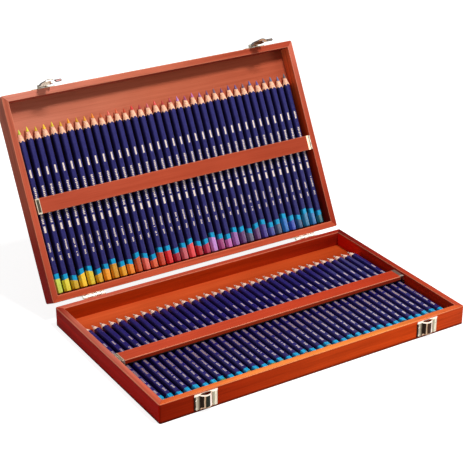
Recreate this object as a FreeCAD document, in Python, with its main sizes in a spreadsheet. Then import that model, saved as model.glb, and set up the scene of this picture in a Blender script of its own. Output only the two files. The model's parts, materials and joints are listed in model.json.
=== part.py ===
"""Hinged wooden case of two equal trays, each holding one row of colouring pencils.

Millimetres, +Z up.  The origin is the middle of the base tray's footprint, on the surface that it
stands on.  +X runs along the hinge line, to the right for someone at the latches, and +Y points
from the latches to the hinges.  The lid stands open, leaning back at its stop.

Each tray is drawn in its own frame, in which it lies on its panel with the pencils' tips towards
+Y.  The base tray's frame is the model's frame.  The lid's frame is turned about the hinge line.
"""
import FreeCAD, Part
import math
import os
from types import SimpleNamespace

import Sketcher

SHEET = "Sizes"

DRIVING_SIZES = (
    # trays
    ("width", 360.0, "outside width of both trays"),
    ("wall", 7.0, "thickness of the four boards of a tray"),
    ("corner_round", 2.0, "radius of a tray's upright corners"),
    ("edge_round", 0.6, "radius along the boards' long edges"),
    ("panel_thick", 3.2, "thickness of the panel that closes a tray"),
    ("panel_recess", 1.8, "distance that the panel lies inside the boards' edges"),
    ("groove_deep", 2.5, "depth of the boards' groove for the panel"),
    ("panel_play", 0.1, "gap around the panel in its groove"),
    ("rim_gap", 0.2, "gap between the two rims when the case is shut"),
    ("open_angle", 117.4, "angle between the trays, at which the hinges stop the lid"),
    # pencils and what spaces them
    ("pencil_long", 177.0, "length of the longest pencils"),
    ("pencil_wear", 1.6, "how much shorter the most sharpened pencil is"),
    ("pencil_flats", 7.4, "width of a hexagonal barrel across its flats"),
    ("pencil_space", 0.935, "gap between the corners of two neighbouring barrels"),
    ("cone_long", 14.5, "length of the sharpened cone, from the point to the last of the paint"),
    ("lead_round", 1.8, "radius of the hole for the lead"),
    ("point_round", 0.35, "radius of the lead at its point"),
    ("end_gap", 1.2, "gap between the blunt ends and the board behind them"),
    ("finger_space", 27.8, "free length of tray past the points"),
    ("side_space", 7.0, "least distance from a side board to the first barrel's axis"),
    ("rack_web", 0.6, "thickness of the rack under the barrels"),
    ("rack_tall", 3.0, "height of the rack's teeth above the panel"),
    ("tooth_top", 1.2, "thickness of a tooth of the rack at its top"),
    ("rack_deep", 14.0, "size of the rack along the pencils"),
    ("rack_slack", 0.2, "gap between a barrel and the foot of a tooth"),
    # retaining bars
    ("bar_broad", 16.5, "size of a retaining bar along the pencils"),
    ("bar_thick", 4.5, "thickness of a retaining bar"),
    ("bar_sink", 1.0, "distance from the rim down to the bar's face"),
    ("pad_thick", 2.2, "thickness of the foam under a bar"),
    ("pad_broad", 12.0, "width of the foam under a bar"),
    ("pad_inset", 6.0, "distance from the foam's end to the bar's end"),
    ("base_bar_spot", -13.0, "place of the base tray's bar along the pencils"),
    ("lid_bar_spot", -9.0, "place of the lid's bar along the pencils"),
    ("plate_thick", 0.8, "thickness of the metal plates at the bars' ends"),
    ("bar_axis_in", 3.3, "distance from the side board to the bar's hinge line"),
    ("bar_axis_drop", 3.6, "distance from the rim down to the bar's hinge line"),
    ("bar_end_in", 6.5, "distance from the side board to the bar's hinged end"),
    ("bar_free_in", 4.8, "distance from the side board to the bar's free end"),
    ("flange_in", 2.0, "distance from the side board to the top plates at the bar's ends"),
    ("bar_knuckle_round", 1.5, "radius of the knuckles of a bar's hinge"),
    ("bar_pin_round", 0.7, "radius of the pin of a bar's hinge"),
    ("bar_knuckle_long", 5.4, "length of the knuckle in the middle of a bar's hinge"),
    ("end_leaf_broad", 16.0, "size along the pencils of the leaves and strikes on the side boards"),
    ("wall_leaf_low", 2.0, "distance from the panel up to the leaves on the side boards"),
    ("strike_low", 3.0, "distance from the panel up to the strike on the side board"),
    ("shelf_reach", 3.2, "distance that the strike's shelf stands out from the side board"),
    ("bead_round", 0.5, "radius of the strike's spring bead"),
    # hinges between the trays
    ("hinge_spread", 134.0, "distance from the middle of the case to the middle of a hinge"),
    ("hinge_long", 25.0, "length of a hinge"),
    ("hinge_leaf_thick", 1.0, "thickness of a hinge leaf"),
    ("hinge_leaf_tall", 14.0, "distance from the hinge line to a leaf's far edge"),
    ("hinge_knuckle_round", 2.3, "radius of a hinge knuckle"),
    ("hinge_pin_round", 1.0, "radius of a hinge pin"),
    ("hinge_root", 1.0, "lap of a knuckle's tongue on its leaf"),
    ("stop_long", 6.5, "length of the tail that stops a hinge"),
    ("stop_thick", 0.8, "thickness of the tail that stops a hinge"),
    # latches
    ("latch_spread", 131.0, "distance from the middle of the case to the middle of a latch"),
    ("latch_broad", 25.0, "width of the latch plates"),
    ("latch_tall", 17.5, "height of the latch plates"),
    ("latch_thick", 0.8, "thickness of the latch's sheet metal"),
    ("latch_step", 1.0, "distance from the rim to a latch plate's edge"),
    ("lip_out", 1.4, "distance that the folded edge of the catch stands out"),
    ("nose_round", 7.4, "radius of the catch's raised nose"),
    ("nose_out", 5.0, "distance that the nose stands out from the board"),
    ("nose_low", 2.0, "distance from the catch plate's lower edge to the nose"),
    ("nose_slit", 1.4, "gap between the nose and the catch's folded edge, with the fold"),
    ("hasp_gap", 0.4, "gap between the nose and the hasp over it"),
    ("hasp_skirt_gap", 0.6, "gap between the catch's folded edge and the arch's lower edges"),
    ("hasp_axis_out", 3.0, "distance from the lid's front board to the hasp's hinge line"),
    ("hasp_axis_drop", 4.0, "distance from the lid's rim to the hasp's hinge line"),
    ("hasp_barrel_round", 1.7, "radius of the hasp's knuckle"),
    ("hasp_barrel_long", 6.0, "length of the hasp's knuckle"),
    ("hasp_side_knuckle", 2.2, "length of each knuckle beside the hasp's own"),
    ("hasp_pin_round", 0.8, "radius of the hasp's pin"),
    ("hasp_arch_long", 7.5, "length of the hasp's arch at its full width"),
    ("hasp_crown_broad", 9.0, "width of the strip that runs on from the arch to the hook"),
    ("hasp_bite", 1.2, "distance that the hasp's hook reaches in under the nose"),
    ("tab_reach", 13.8, "distance from the hasp's middle to the end of its finger tab"),
    ("tab_broad", 2.8, "size of the finger tab away from the boards"),
    ("tab_lap", 0.6, "lap of the finger tab on the hook"),
    # fasteners and fits
    ("nail_head", 1.0, "radius of a latch nail's head"),
    ("nail_shank", 0.55, "radius of a latch nail's shank"),
    ("nail_long", 5.0, "length of a latch nail under its head"),
    ("nail_inset", 2.2, "distance from a latch nail to the plate's edge"),
    ("nail_rise", 8.3, "distance between the lower and the upper latch nails"),
    ("screw_head", 1.6, "radius of a hinge screw's head"),
    ("screw_shank", 0.9, "radius of a hinge screw's shank"),
    ("screw_long", 5.5, "length of a hinge screw under its head"),
    ("screw_inset", 4.0, "distance from a hinge screw to the leaf's end"),
    ("tack_head", 1.0, "radius of the head of the small screws at a bar's ends"),
    ("tack_shank", 0.5, "radius of the shank of the small screws at a bar's ends"),
    ("tack_long", 4.5, "length of the small screws at a bar's ends"),
    ("tack_spread", 5.5, "distance from the bar's middle to a small screw"),
    ("hole_extra", 0.3, "depth of a hole past the end of its screw or nail"),
    ("hole_fit", 0.02, "gap around a screw or nail in its hole"),
    ("pin_fit", 0.05, "gap between a pin and its knuckles"),
    ("knuckle_gap", 0.15, "gap between two neighbouring knuckles, on each side of the joint"),
    ("moving_gap", 0.3, "gap between pieces that pass each other"),
)


class Size:
    """A length or an angle: its value now, and the sheet formula that gives it."""

    def __init__(self, value, formula):
        self.value = value
        self.formula = formula

    def __add__(self, other):
        return joined(self, "+", other, self.value + value_of(other))

    def __radd__(self, other):
        return joined(other, "+", self, value_of(other) + self.value)

    def __sub__(self, other):
        return joined(self, "-", other, self.value - value_of(other))

    def __rsub__(self, other):
        return joined(other, "-", self, value_of(other) - self.value)

    def __mul__(self, other):
        return joined(self, "*", other, self.value * value_of(other))

    def __rmul__(self, other):
        return joined(other, "*", self, value_of(other) * self.value)

    def __truediv__(self, other):
        return joined(self, "/", other, self.value / value_of(other))

    def __neg__(self):
        return joined(0, "-", self, -self.value)


def value_of(item):
    return item.value if isinstance(item, Size) else float(item)


def formula_of(item):
    return item.formula if isinstance(item, Size) else repr(float(item))


def joined(left, sign, right, value):
    return Size(value, "(%s %s %s)" % (formula_of(left), sign, formula_of(right)))


def cos(angle):
    return Size(math.cos(math.radians(angle.value)), "cos(%s)" % angle.formula)


def sin(angle):
    return Size(math.sin(math.radians(angle.value)), "sin(%s)" % angle.formula)


def whole(size):
    return Size(math.floor(size.value), "floor(%s)" % size.formula)


def make_sheet(doc):
    """Write the driving sizes into the spreadsheet and give them back as Size values."""
    sheet = doc.addObject("Spreadsheet::Sheet", SHEET)
    sizes = SimpleNamespace()
    for row, (alias, value, meaning) in enumerate(DRIVING_SIZES, start=1):
        sheet.set("A%d" % row, alias)
        sheet.set("B%d" % row, repr(value))
        sheet.set("C%d" % row, meaning)
        sheet.setAlias("B%d" % row, alias)
        setattr(sizes, alias, Size(value, "%s.%s" % (SHEET, alias)))
    return sizes


doc = FreeCAD.newDocument("PencilCase")
S = make_sheet(doc)
doc.recompute()

SUBPARTS = []                       # the finished sub-parts, in the order in which they are made

# Sizes that follow from the driving ones.
HALF_ROOT = math.sqrt(0.5)
BARREL_CORNER = S.pencil_flats / math.sqrt(3)           # from a barrel's axis to its corners
PITCH = BARREL_CORNER * 2 + S.pencil_space
INNER_WIDTH = S.width - S.wall * 2
PENCIL_COUNT = whole((INNER_WIDTH - S.side_space * 2) / PITCH) + 1
DEPTH = S.wall * 2 + S.end_gap + S.pencil_long + S.finger_space
FLOOR = S.panel_recess + S.panel_thick                  # height of the panel's inner face
BARREL_AXIS = FLOOR + S.rack_web + S.pencil_flats / 2
BARREL_TOP = FLOOR + S.rack_web + S.pencil_flats
BAR_LOW = BARREL_TOP + S.moving_gap + S.pad_thick
BAR_HIGH = BAR_LOW + S.bar_thick
RIM = BAR_HIGH + S.bar_sink                             # height of a tray
HALF_WIDTH = S.width / 2
HALF_DEPTH = DEPTH / 2
SIDE_FACE = HALF_WIDTH - S.wall                         # inner face of the side boards
AXIS_HIGH = RIM + S.rim_gap / 2                         # hinge line above either tray's underside
HINGE_OUT = S.hinge_knuckle_round + S.moving_gap        # hinge line from the back boards
AXIS_BACK = HALF_DEPTH + HINGE_OUT                      # hinge line from a tray's middle
LID_TURN = 180.0 - S.open_angle
BLUNT_END = -HALF_DEPTH + S.wall + S.end_gap            # where the pencils' blunt ends lie
FIRST_PENCIL = -(PITCH * (PENCIL_COUNT - 1)) / 2
FASTENER_ROUND = 1 / HALF_ROOT                          # sphere to rim radius of a domed head


def lid_spot(y, z):
    """The model's Y and Z of a point given in the lid's frame."""
    off = y + AXIS_BACK
    up = z - AXIS_HIGH
    return (AXIS_BACK + off * cos(LID_TURN) - up * sin(LID_TURN),
            AXIS_HIGH + off * sin(LID_TURN) + up * cos(LID_TURN))


class Frame:
    """Where a sub-part's own frame lies: turned about X, then moved along Y and Z."""

    def __init__(self, y=0.0, z=0.0, turn=None):
        self.y = y
        self.z = z
        self.turn = turn

    def numbers(self):
        turn = value_of(self.turn) if self.turn else 0.0
        return FreeCAD.Placement(FreeCAD.Vector(0, value_of(self.y), value_of(self.z)),
                                 FreeCAD.Rotation(FreeCAD.Vector(1, 0, 0), turn))


BASE_FRAME = Frame()
LID_FRAME = Frame(*lid_spot(0.0, 0.0), LID_TURN)


def bind(item, name, size):
    item.setExpression(name, formula_of(size))


def finish(item, label, frame):
    """Name a finished sub-part and put it into its place in the model."""
    item.Label = label
    item.Placement = frame.numbers()
    if frame.turn:
        bind(item, "Placement.Base.y", frame.y)
        bind(item, "Placement.Base.z", frame.z)
        bind(item, "Placement.Rotation.Angle", frame.turn)
    SUBPARTS.append(item)


def finish_shape(shape, label, frame):
    """A sub-part made of many like solids, whose sizes are read from the sheet by this script."""
    item = doc.addObject("Part::Feature", label)
    item.Shape = shape
    finish(item, label, frame)


# ---------------------------------------------------------------- primitives and booleans

def ordered(pair):
    return pair if value_of(pair[0]) < value_of(pair[1]) else (pair[1], pair[0])


def block(name, x, y, z):
    """A box between two values on each axis."""
    box = doc.addObject("Part::Box", name)
    for length, letter, pair in (("Length", "x", x), ("Width", "y", y), ("Height", "z", z)):
        low, high = ordered(pair)
        bind(box, length, high - low)
        bind(box, "Placement.Base.%s" % letter, low)
    return box


AXIS_TURN = {"x": FreeCAD.Rotation(FreeCAD.Vector(0, 1, 0), 90),
             "y": FreeCAD.Rotation(FreeCAD.Vector(1, 0, 0), -90),
             "z": FreeCAD.Rotation()}


def rod(name, radius, axis, ends, across):
    """A cylinder along one axis; across gives its place on the other two, in X, Y, Z order."""
    cylinder = doc.addObject("Part::Cylinder", name)
    cylinder.Placement = FreeCAD.Placement(FreeCAD.Vector(), AXIS_TURN[axis])
    low, high = ordered(ends)
    place = {letter: size for letter, size in zip([a for a in "xyz" if a != axis], across)}
    place[axis] = low
    bind(cylinder, "Radius", radius)
    bind(cylinder, "Height", high - low)
    for letter, size in place.items():
        bind(cylinder, "Placement.Base.%s" % letter, size)
    return cylinder


def fuse(name, items):
    if len(items) == 1:
        return items[0]
    union = doc.addObject("Part::MultiFuse", name)
    union.Shapes = items
    union.Refine = True
    return union


def cut(name, item, tools):
    result = doc.addObject("Part::Cut", name)
    result.Base = item
    result.Tool = fuse(name + "_tools", tools)
    return result


def common(name, item, other):
    result = doc.addObject("Part::Common", name)
    result.Base = item
    result.Tool = other
    return result


# ---------------------------------------------------------------- sketches and bodies

def origin_part(body, role):
    return next(item for item in body.Origin.OriginFeatures if item.Role == role)


def new_sketch(body, name, plane, offset):
    """A sketch on one of the body's origin planes, moved along the plane's normal."""
    sketch = body.newObject("Sketcher::SketchObject", name)
    sketch.AttachmentSupport = [(origin_part(body, plane), "")]
    sketch.MapMode = "FlatFace"
    bind(sketch, "AttachmentOffset.Base.z", offset)
    return sketch


def fix_point(sketch, geometry, point, spot, name):
    for kind, letter, size in (("DistanceX", "x", spot[0]), ("DistanceY", "y", spot[1])):
        index = sketch.addConstraint(
            Sketcher.Constraint(kind, -1, 1, geometry, point, value_of(size)))
        label = "%s_%s" % (name, letter)
        sketch.renameConstraint(index, label)
        sketch.setExpression("Constraints." + label, formula_of(size))


def flat_vector(spot):
    return FreeCAD.Vector(value_of(spot[0]), value_of(spot[1]), 0)


def outline(sketch, corners):
    """A closed outline.  A corner is (x, y) or, where an arc starts, (x, y, (centre, radius))."""
    count = len(corners)
    starts = []
    for index, corner in enumerate(corners):
        here = flat_vector(corner)
        there = flat_vector(corners[(index + 1) % count])
        if len(corner) == 2:
            sketch.addGeometry(Part.LineSegment(here, there), False)
            starts.append(1)
            continue
        centre, radius = corner[2]
        middle = flat_vector(centre)
        outward = (here + there) * 0.5 - middle
        outward.multiply(value_of(radius) / outward.Length)
        # A sketch holds every arc counterclockwise, so a clockwise one starts at its far end.
        clockwise = (here - middle).cross(there - middle).z < 0
        first, last = (there, here) if clockwise else (here, there)
        sketch.addGeometry(Part.Arc(first, middle + outward, last), False)
        starts.append(2 if clockwise else 1)
    for index in range(count):
        after = (index + 1) % count
        sketch.addConstraint(
            Sketcher.Constraint("Coincident", index, 3 - starts[index], after, starts[after]))
    for index, corner in enumerate(corners):
        fix_point(sketch, index, starts[index], corner, "corner%d" % index)
        if len(corner) == 3:
            radius = corner[2][1]
            spot = sketch.addConstraint(Sketcher.Constraint("Radius", index, value_of(radius)))
            label = "round%d" % index
            sketch.renameConstraint(spot, label)
            sketch.setExpression("Constraints." + label, formula_of(radius))


def circles(sketch, spots, radius):
    for index, spot in enumerate(spots):
        sketch.addGeometry(
            Part.Circle(flat_vector(spot), FreeCAD.Vector(0, 0, 1), value_of(radius)), False)
        fix_point(sketch, index, 3, spot, "hole%d" % index)
        place = sketch.addConstraint(Sketcher.Constraint("Radius", index, value_of(radius)))
        label = "round%d" % index
        sketch.renameConstraint(place, label)
        sketch.setExpression("Constraints." + label, formula_of(radius))


def rectangle(x, y):
    return [(x[0], y[0]), (x[1], y[0]), (x[1], y[1]), (x[0], y[1])]


def pad(body, sketch, length):
    feature = body.newObject("PartDesign::Pad", sketch.Name + "_pad")
    feature.Profile = sketch
    bind(feature, "Length", length)
    return feature


def pocket(body, sketch, length):
    """Cut length / 2 to each side of the sketch."""
    feature = body.newObject("PartDesign::Pocket", sketch.Name + "_pocket")
    feature.Profile = sketch
    feature.SideType = "Symmetric"
    bind(feature, "Length", length)
    return feature


def drill(body, name, plane, face, spots, radius, deep):
    """Blind holes into the face that lies at the given offset from one of the origin planes."""
    sketch = new_sketch(body, name, plane, face)
    circles(sketch, spots, radius + S.hole_fit)
    return pocket(body, sketch, deep * 2)


def round_edges(body, name, wanted, radius):
    """Fillet those edges of the body for which wanted(middle of the edge) is true."""
    doc.recompute()
    tip = body.Tip
    names = []
    for index, edge in enumerate(tip.Shape.Edges, start=1):
        middle = edge.valueAt((edge.FirstParameter + edge.LastParameter) / 2)
        if wanted(middle):
            names.append("Edge%d" % index)
    feature = body.newObject("PartDesign::Fillet", name)
    feature.Base = (tip, names)
    bind(feature, "Radius", radius)
    return feature


def plain_slab(label, frame, x, y, z):
    """A rectangular sub-part."""
    body = doc.addObject("PartDesign::Body", label)
    plan = new_sketch(body, label + "_plan", "XY_Plane", z[0])
    outline(plan, rectangle(x, y))
    pad(body, plan, z[1] - z[0])
    finish(body, label, frame)


def plain_pin(label, frame, radius, axis, ends, across):
    """A round sub-part along X or Y; across gives its place on the other two axes."""
    low, high = ordered(ends)
    body = doc.addObject("PartDesign::Body", label)
    # A YZ plane faces +X and an XZ plane faces -Y.
    plane, offset = ("YZ_Plane", low) if axis == "x" else ("XZ_Plane", -high)
    section = new_sketch(body, label + "_section", plane, offset)
    circles(section, [across], radius)
    pad(body, section, high - low)
    finish(body, label, frame)


# ---------------------------------------------------------------- fasteners

def domed_fastener(head, shank, long):
    """A fastener along -Z with its head's flat underside at the origin."""
    ball = Part.makeSphere(head * FASTENER_ROUND, FreeCAD.Vector(0, 0, -head),
                           FreeCAD.Vector(0, 0, 1), 45, 90, 360)
    stem = Part.makeCylinder(shank, long, FreeCAD.Vector(0, 0, -long))
    return ball.fuse(stem).removeSplitter()


def fasteners(label, frame, kind, seats):
    """Like fasteners as one node.  A seat is a point on the plate and the way the head faces."""
    head, shank, long = [value_of(size) for size in kind]
    pattern = domed_fastener(head, shank, long)
    solids = []
    for spot, facing in seats:
        copy = pattern.copy()
        turn = FreeCAD.Rotation(FreeCAD.Vector(0, 0, 1), FreeCAD.Vector(*facing))
        place = FreeCAD.Vector(*[value_of(size) for size in spot])
        copy.Placement = FreeCAD.Placement(place, turn)
        solids.append(copy)
    finish_shape(Part.makeCompound(solids), label, frame)


NAIL = (S.nail_head, S.nail_shank, S.nail_long)
SCREW = (S.screw_head, S.screw_shank, S.screw_long)
TACK = (S.tack_head, S.tack_shank, S.tack_long)


# ---------------------------------------------------------------- trays

def long_board(label, frame, side):
    """The front or back board, mitred to the side boards; side is -1 or 1 along Y."""
    near = S.corner_round * (1 - HALF_ROOT)
    turn_x = HALF_WIDTH - S.corner_round
    turn_y = (HALF_DEPTH - S.corner_round) * side
    corners = [
        (-HALF_WIDTH + near, (HALF_DEPTH - near) * side, ((-turn_x, turn_y), S.corner_round)),
        (-turn_x, HALF_DEPTH * side),
        (turn_x, HALF_DEPTH * side, ((turn_x, turn_y), S.corner_round)),
        (HALF_WIDTH - near, (HALF_DEPTH - near) * side),
        (SIDE_FACE, (HALF_DEPTH - S.wall) * side),
        (-SIDE_FACE, (HALF_DEPTH - S.wall) * side)]
    groove_y = ((HALF_DEPTH - S.wall - 1.0) * side, (HALF_DEPTH - S.wall + S.groove_deep) * side)
    return board(label, frame, corners, rectangle((-HALF_WIDTH, HALF_WIDTH), groove_y))


def side_board(label, frame, side):
    """The left or right board, mitred to the long boards; side is -1 or 1 along X."""
    near = S.corner_round * (1 - HALF_ROOT)
    turn_x = (HALF_WIDTH - S.corner_round) * side
    turn_y = HALF_DEPTH - S.corner_round
    corners = [
        ((HALF_WIDTH - near) * side, -HALF_DEPTH + near, ((turn_x, -turn_y), S.corner_round)),
        (HALF_WIDTH * side, -turn_y),
        (HALF_WIDTH * side, turn_y, ((turn_x, turn_y), S.corner_round)),
        ((HALF_WIDTH - near) * side, HALF_DEPTH - near),
        (SIDE_FACE * side, HALF_DEPTH - S.wall),
        (SIDE_FACE * side, -HALF_DEPTH + S.wall)]
    groove_x = ((SIDE_FACE - 1.0) * side, (SIDE_FACE + S.groove_deep) * side)
    return board(label, frame, corners, rectangle(groove_x, (-HALF_DEPTH, HALF_DEPTH)))


def board(label, frame, corners, groove):
    """An upright mitred board with a groove for the panel and eased long edges."""
    body = doc.addObject("PartDesign::Body", label)
    plan = new_sketch(body, label + "_plan", "XY_Plane", 0.0)
    outline(plan, corners)
    pad(body, plan, RIM)
    slot = new_sketch(body, label + "_groove", "XY_Plane", S.panel_recess + S.panel_thick / 2)
    outline(slot, groove)
    pocket(body, slot, S.panel_thick)

    def eased(middle):
        from_side = HALF_WIDTH.value - abs(middle.x)
        from_end = HALF_DEPTH.value - abs(middle.y)
        on_top = abs(middle.z - RIM.value) < 1e-4
        on_foot = abs(middle.z) < 1e-4
        on_mitre = abs(from_side - from_end) < 1e-4
        outside = min(from_side, from_end) < S.wall.value / 2
        return (on_top or (on_foot and outside)) and not on_mitre

    round_edges(body, label + "_eased", eased, S.edge_round)
    finish(body, label, frame)
    return body


def panel(label, frame):
    half_x = SIDE_FACE + S.groove_deep - S.panel_play
    half_y = HALF_DEPTH - S.wall + S.groove_deep - S.panel_play
    plain_slab(label, frame, (-half_x, half_x), (-half_y, half_y), (S.panel_recess, FLOOR))


# ---------------------------------------------------------------- pencils and their rack

def rack(label, frame, bar_spot):
    """A comb on the panel, under the bar, with one notch for each barrel."""
    body = doc.addObject("PartDesign::Body", label)
    half = INNER_WIDTH / 2 - S.plate_thick - S.moving_gap
    deep = (bar_spot - S.rack_deep / 2, bar_spot + S.rack_deep / 2)
    plan = new_sketch(body, label + "_plan", "XY_Plane", FLOOR)
    outline(plan, rectangle((-half, half), deep))
    pad(body, plan, S.rack_tall)
    foot = BARREL_CORNER / 2 + S.rack_slack
    mouth = (PITCH - S.tooth_top) / 2
    notch = new_sketch(body, label + "_notch", "XZ_Plane", -bar_spot)
    outline(notch, [(FIRST_PENCIL - foot, FLOOR + S.rack_web),
                    (FIRST_PENCIL + foot, FLOOR + S.rack_web),
                    (FIRST_PENCIL + mouth, FLOOR + S.rack_tall),
                    (FIRST_PENCIL - mouth, FLOOR + S.rack_tall)])
    first = pocket(body, notch, S.rack_deep)
    row = body.newObject("PartDesign::LinearPattern", label + "_notches")
    row.Originals = [first]
    row.Direction = (origin_part(body, "X_Axis"), [""])
    row.Mode = "Spacing"
    bind(row, "Offset", PITCH)
    bind(row, "Occurrences", PENCIL_COUNT)
    body.Tip = row
    finish(body, label, frame)


def pencil_length(index, phase):
    """Pencils are sharpened by uneven amounts; neighbours differ by a repeating rule."""
    wear = 0.5 + 0.5 * math.sin(2.4 * index + phase)
    return S.pencil_long.value - S.pencil_wear.value * wear


def pencil_solids(long):
    """One pencil along +Y from its blunt end at the origin: its casing and its lead."""
    corner = BARREL_CORNER.value
    hole = S.lead_round.value
    lead = hole - S.hole_fit.value
    point = S.point_round.value
    cone_long = S.cone_long.value
    slope = (corner - point) / cone_long
    along = FreeCAD.Vector(0, 1, 0)
    corners = [FreeCAD.Vector(corner * math.cos(math.radians(60 * k)), 0,
                              corner * math.sin(math.radians(60 * k))) for k in range(6)]
    barrel = Part.Face(Part.makePolygon(corners + corners[:1])).extrude(along * long)
    body_long = long - cone_long
    taper = Part.makeCone(corner, point, cone_long, along * body_long, along)
    shaft = Part.makeCylinder(corner + 1.0, body_long, FreeCAD.Vector(), along)
    bore = Part.makeCylinder(hole, long, FreeCAD.Vector(), along)
    casing = barrel.common(shaft.fuse(taper)).cut(bore)
    lead_cone = (lead - point) / slope
    core = Part.makeCylinder(lead, long - lead_cone, FreeCAD.Vector(), along)
    tip = Part.makeCone(lead, point, lead_cone, along * (long - lead_cone), along)
    return casing, core.fuse(tip).removeSplitter()


def pencil_row(prefix, frame, phase):
    casings = []
    leads = []
    for index in range(int(PENCIL_COUNT.value)):
        place = FreeCAD.Vector(FIRST_PENCIL.value + PITCH.value * index, BLUNT_END.value,
                               BARREL_AXIS.value)
        casing, lead = pencil_solids(pencil_length(index, phase))
        casing.translate(place)
        lead.translate(place)
        casings.append(casing)
        leads.append(lead)
    finish_shape(Part.makeCompound(casings), prefix + "_pencil_casings", frame)
    finish_shape(Part.makeCompound(leads), prefix + "_pencil_leads", frame)


# ---------------------------------------------------------------- retaining bars

def tack_seats(x, bar_spot, z, facing):
    """Two small screws side by side in an end plate; facing is -1 or 1 along X."""
    return [((x, bar_spot + S.tack_spread * way, z), (facing, 0, 0)) for way in (-1, 1)]


def end_holes(name, x, bar_spot, z):
    """Tools for the two screw holes through an end plate."""
    reach = S.plate_thick + 1.0
    return [rod("%s_hole%d" % (name, k), S.tack_shank + S.hole_fit, "x", (x - reach, x + reach),
                (bar_spot + S.tack_spread * way, z)) for k, way in enumerate((-1, 1))]


def retaining_bar(prefix, frame, bar_spot, hinged):
    """The wooden bar, its foam, and the plates at its ends; hinged is the side of the hinge."""
    hinge_end = (SIDE_FACE - S.bar_end_in) * hinged
    free_end = -(SIDE_FACE - S.bar_free_in) * hinged
    low_x, high_x = ordered((hinge_end, free_end))
    label = prefix + "_bar"
    body = doc.addObject("PartDesign::Body", label)
    section = new_sketch(body, label + "_section", "YZ_Plane", low_x)
    half = S.bar_broad / 2
    outline(section, rectangle((bar_spot - half, bar_spot + half), (BAR_LOW, BAR_HIGH)))
    pad(body, section, high_x - low_x)
    tack_high = tack_level()
    spots = [(bar_spot + S.tack_spread * way, tack_high) for way in (-1, 1)]
    deep = S.tack_long - S.plate_thick + S.hole_extra
    drill(body, label + "_left_holes", "YZ_Plane", low_x, spots, S.tack_shank, deep)
    drill(body, label + "_right_holes", "YZ_Plane", high_x, spots, S.tack_shank, deep)

    def eased(middle):
        inside = low_x.value + 1 < middle.x < high_x.value - 1
        return inside and abs(abs(middle.y - bar_spot.value) - half.value) < 1e-4

    round_edges(body, label + "_eased", eased, S.edge_round)
    finish(body, label, frame)
    pad_half = S.pad_broad / 2
    plain_slab(prefix + "_bar_pad", frame, (low_x + S.pad_inset, high_x - S.pad_inset),
               (bar_spot - pad_half, bar_spot + pad_half), (BAR_LOW - S.pad_thick, BAR_LOW))
    return hinge_end, free_end


def tack_level():
    """Height of the small screws in the bar's ends: the middle of the plate below its fold."""
    return (BAR_LOW + BAR_HIGH - S.plate_thick) / 2


def end_plate(name, bar_spot, end, wall_side):
    """The folded plate on a bar's end: a foot against the wood and a flange to the side board."""
    half = S.bar_broad / 2
    rim = (SIDE_FACE - S.flange_in) * wall_side
    y = (bar_spot - half, bar_spot + half)
    foot = block(name + "_foot", (end, end + S.plate_thick * wall_side), y, (BAR_LOW, BAR_HIGH))
    flange = block(name + "_flange", (end, rim), y, (BAR_HIGH - S.plate_thick, BAR_HIGH))
    return [foot, flange]


def bar_hinge(prefix, frame, bar_spot, hinged, end):
    """The small hinge between a bar and the side board on its hinged side."""
    face = SIDE_FACE * hinged
    axis_x = (SIDE_FACE - S.bar_axis_in) * hinged
    axis_z = RIM - S.bar_axis_drop
    leaf_half = S.end_leaf_broad / 2
    middle_half = S.bar_knuckle_long / 2
    inner = middle_half + S.knuckle_gap
    bore = S.bar_pin_round + S.pin_fit
    reach = (bar_spot - leaf_half - 1.0, bar_spot + leaf_half + 1.0)
    name = prefix + "_bar_hinge"

    bar_leaf = end_plate(name + "_bar", bar_spot, end, hinged)
    knuckle_y = (bar_spot - middle_half, bar_spot + middle_half)
    web = (axis_z - S.plate_thick / 2, axis_z + S.plate_thick / 2)
    bar_leaf.append(rod(name + "_knuckle", S.bar_knuckle_round, "y", knuckle_y, (axis_x, axis_z)))
    bar_leaf.append(block(name + "_web", (axis_x, end), knuckle_y, web))
    bore_tool = rod(name + "_bore", bore, "y", reach, (axis_x, axis_z))
    tools = [bore_tool] + end_holes(name + "_bar", end, bar_spot, tack_level())
    leaf = cut(name + "_bar_leaf", fuse(name + "_bar_blank", bar_leaf), tools)
    finish(leaf, name + "_bar_leaf", frame)

    leaf_low = FLOOR + S.wall_leaf_low
    leaf_high = axis_z - S.bar_knuckle_round - S.moving_gap - S.plate_thick
    wall_leaf = [block(name + "_wall", (face, face - S.plate_thick * hinged),
                       (bar_spot - leaf_half, bar_spot + leaf_half), (leaf_low, leaf_high))]
    post_x = (axis_x - S.plate_thick / 2, axis_x + S.plate_thick / 2)
    inner_x = axis_x - S.plate_thick / 2 * hinged
    for key, way in (("front", -1), ("rear", 1)):
        y = (bar_spot + inner * way, bar_spot + leaf_half * way)
        wall_leaf.append(rod("%s_%s" % (name, key), S.bar_knuckle_round, "y", y, (axis_x, axis_z)))
        wall_leaf.append(block("%s_%s_arm" % (name, key), (face, inner_x), y,
                               (leaf_high - S.plate_thick, leaf_high)))
        wall_leaf.append(block("%s_%s_post" % (name, key), post_x, y,
                               (leaf_high - S.plate_thick, axis_z - S.bar_knuckle_round / 2)))
    wall_tack = (leaf_low + leaf_high - S.plate_thick) / 2
    wall_bore = rod(name + "_wall_bore", bore, "y", reach, (axis_x, axis_z))
    tools = [wall_bore] + end_holes(name + "_wall", face, bar_spot, wall_tack)
    leaf = cut(name + "_wall_leaf", fuse(name + "_wall_blank", wall_leaf), tools)
    finish(leaf, name + "_wall_leaf", frame)

    plain_pin(name + "_pin", frame, S.bar_pin_round, "y",
              (bar_spot - leaf_half, bar_spot + leaf_half), (axis_x, axis_z))
    plate = S.plate_thick * hinged
    fasteners(name + "_wall_screws", frame, TACK,
              tack_seats(face - plate, bar_spot, wall_tack, -hinged))
    fasteners(name + "_bar_screws", frame, TACK,
              tack_seats(end + plate, bar_spot, tack_level(), hinged))
    return wall_tack


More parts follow.
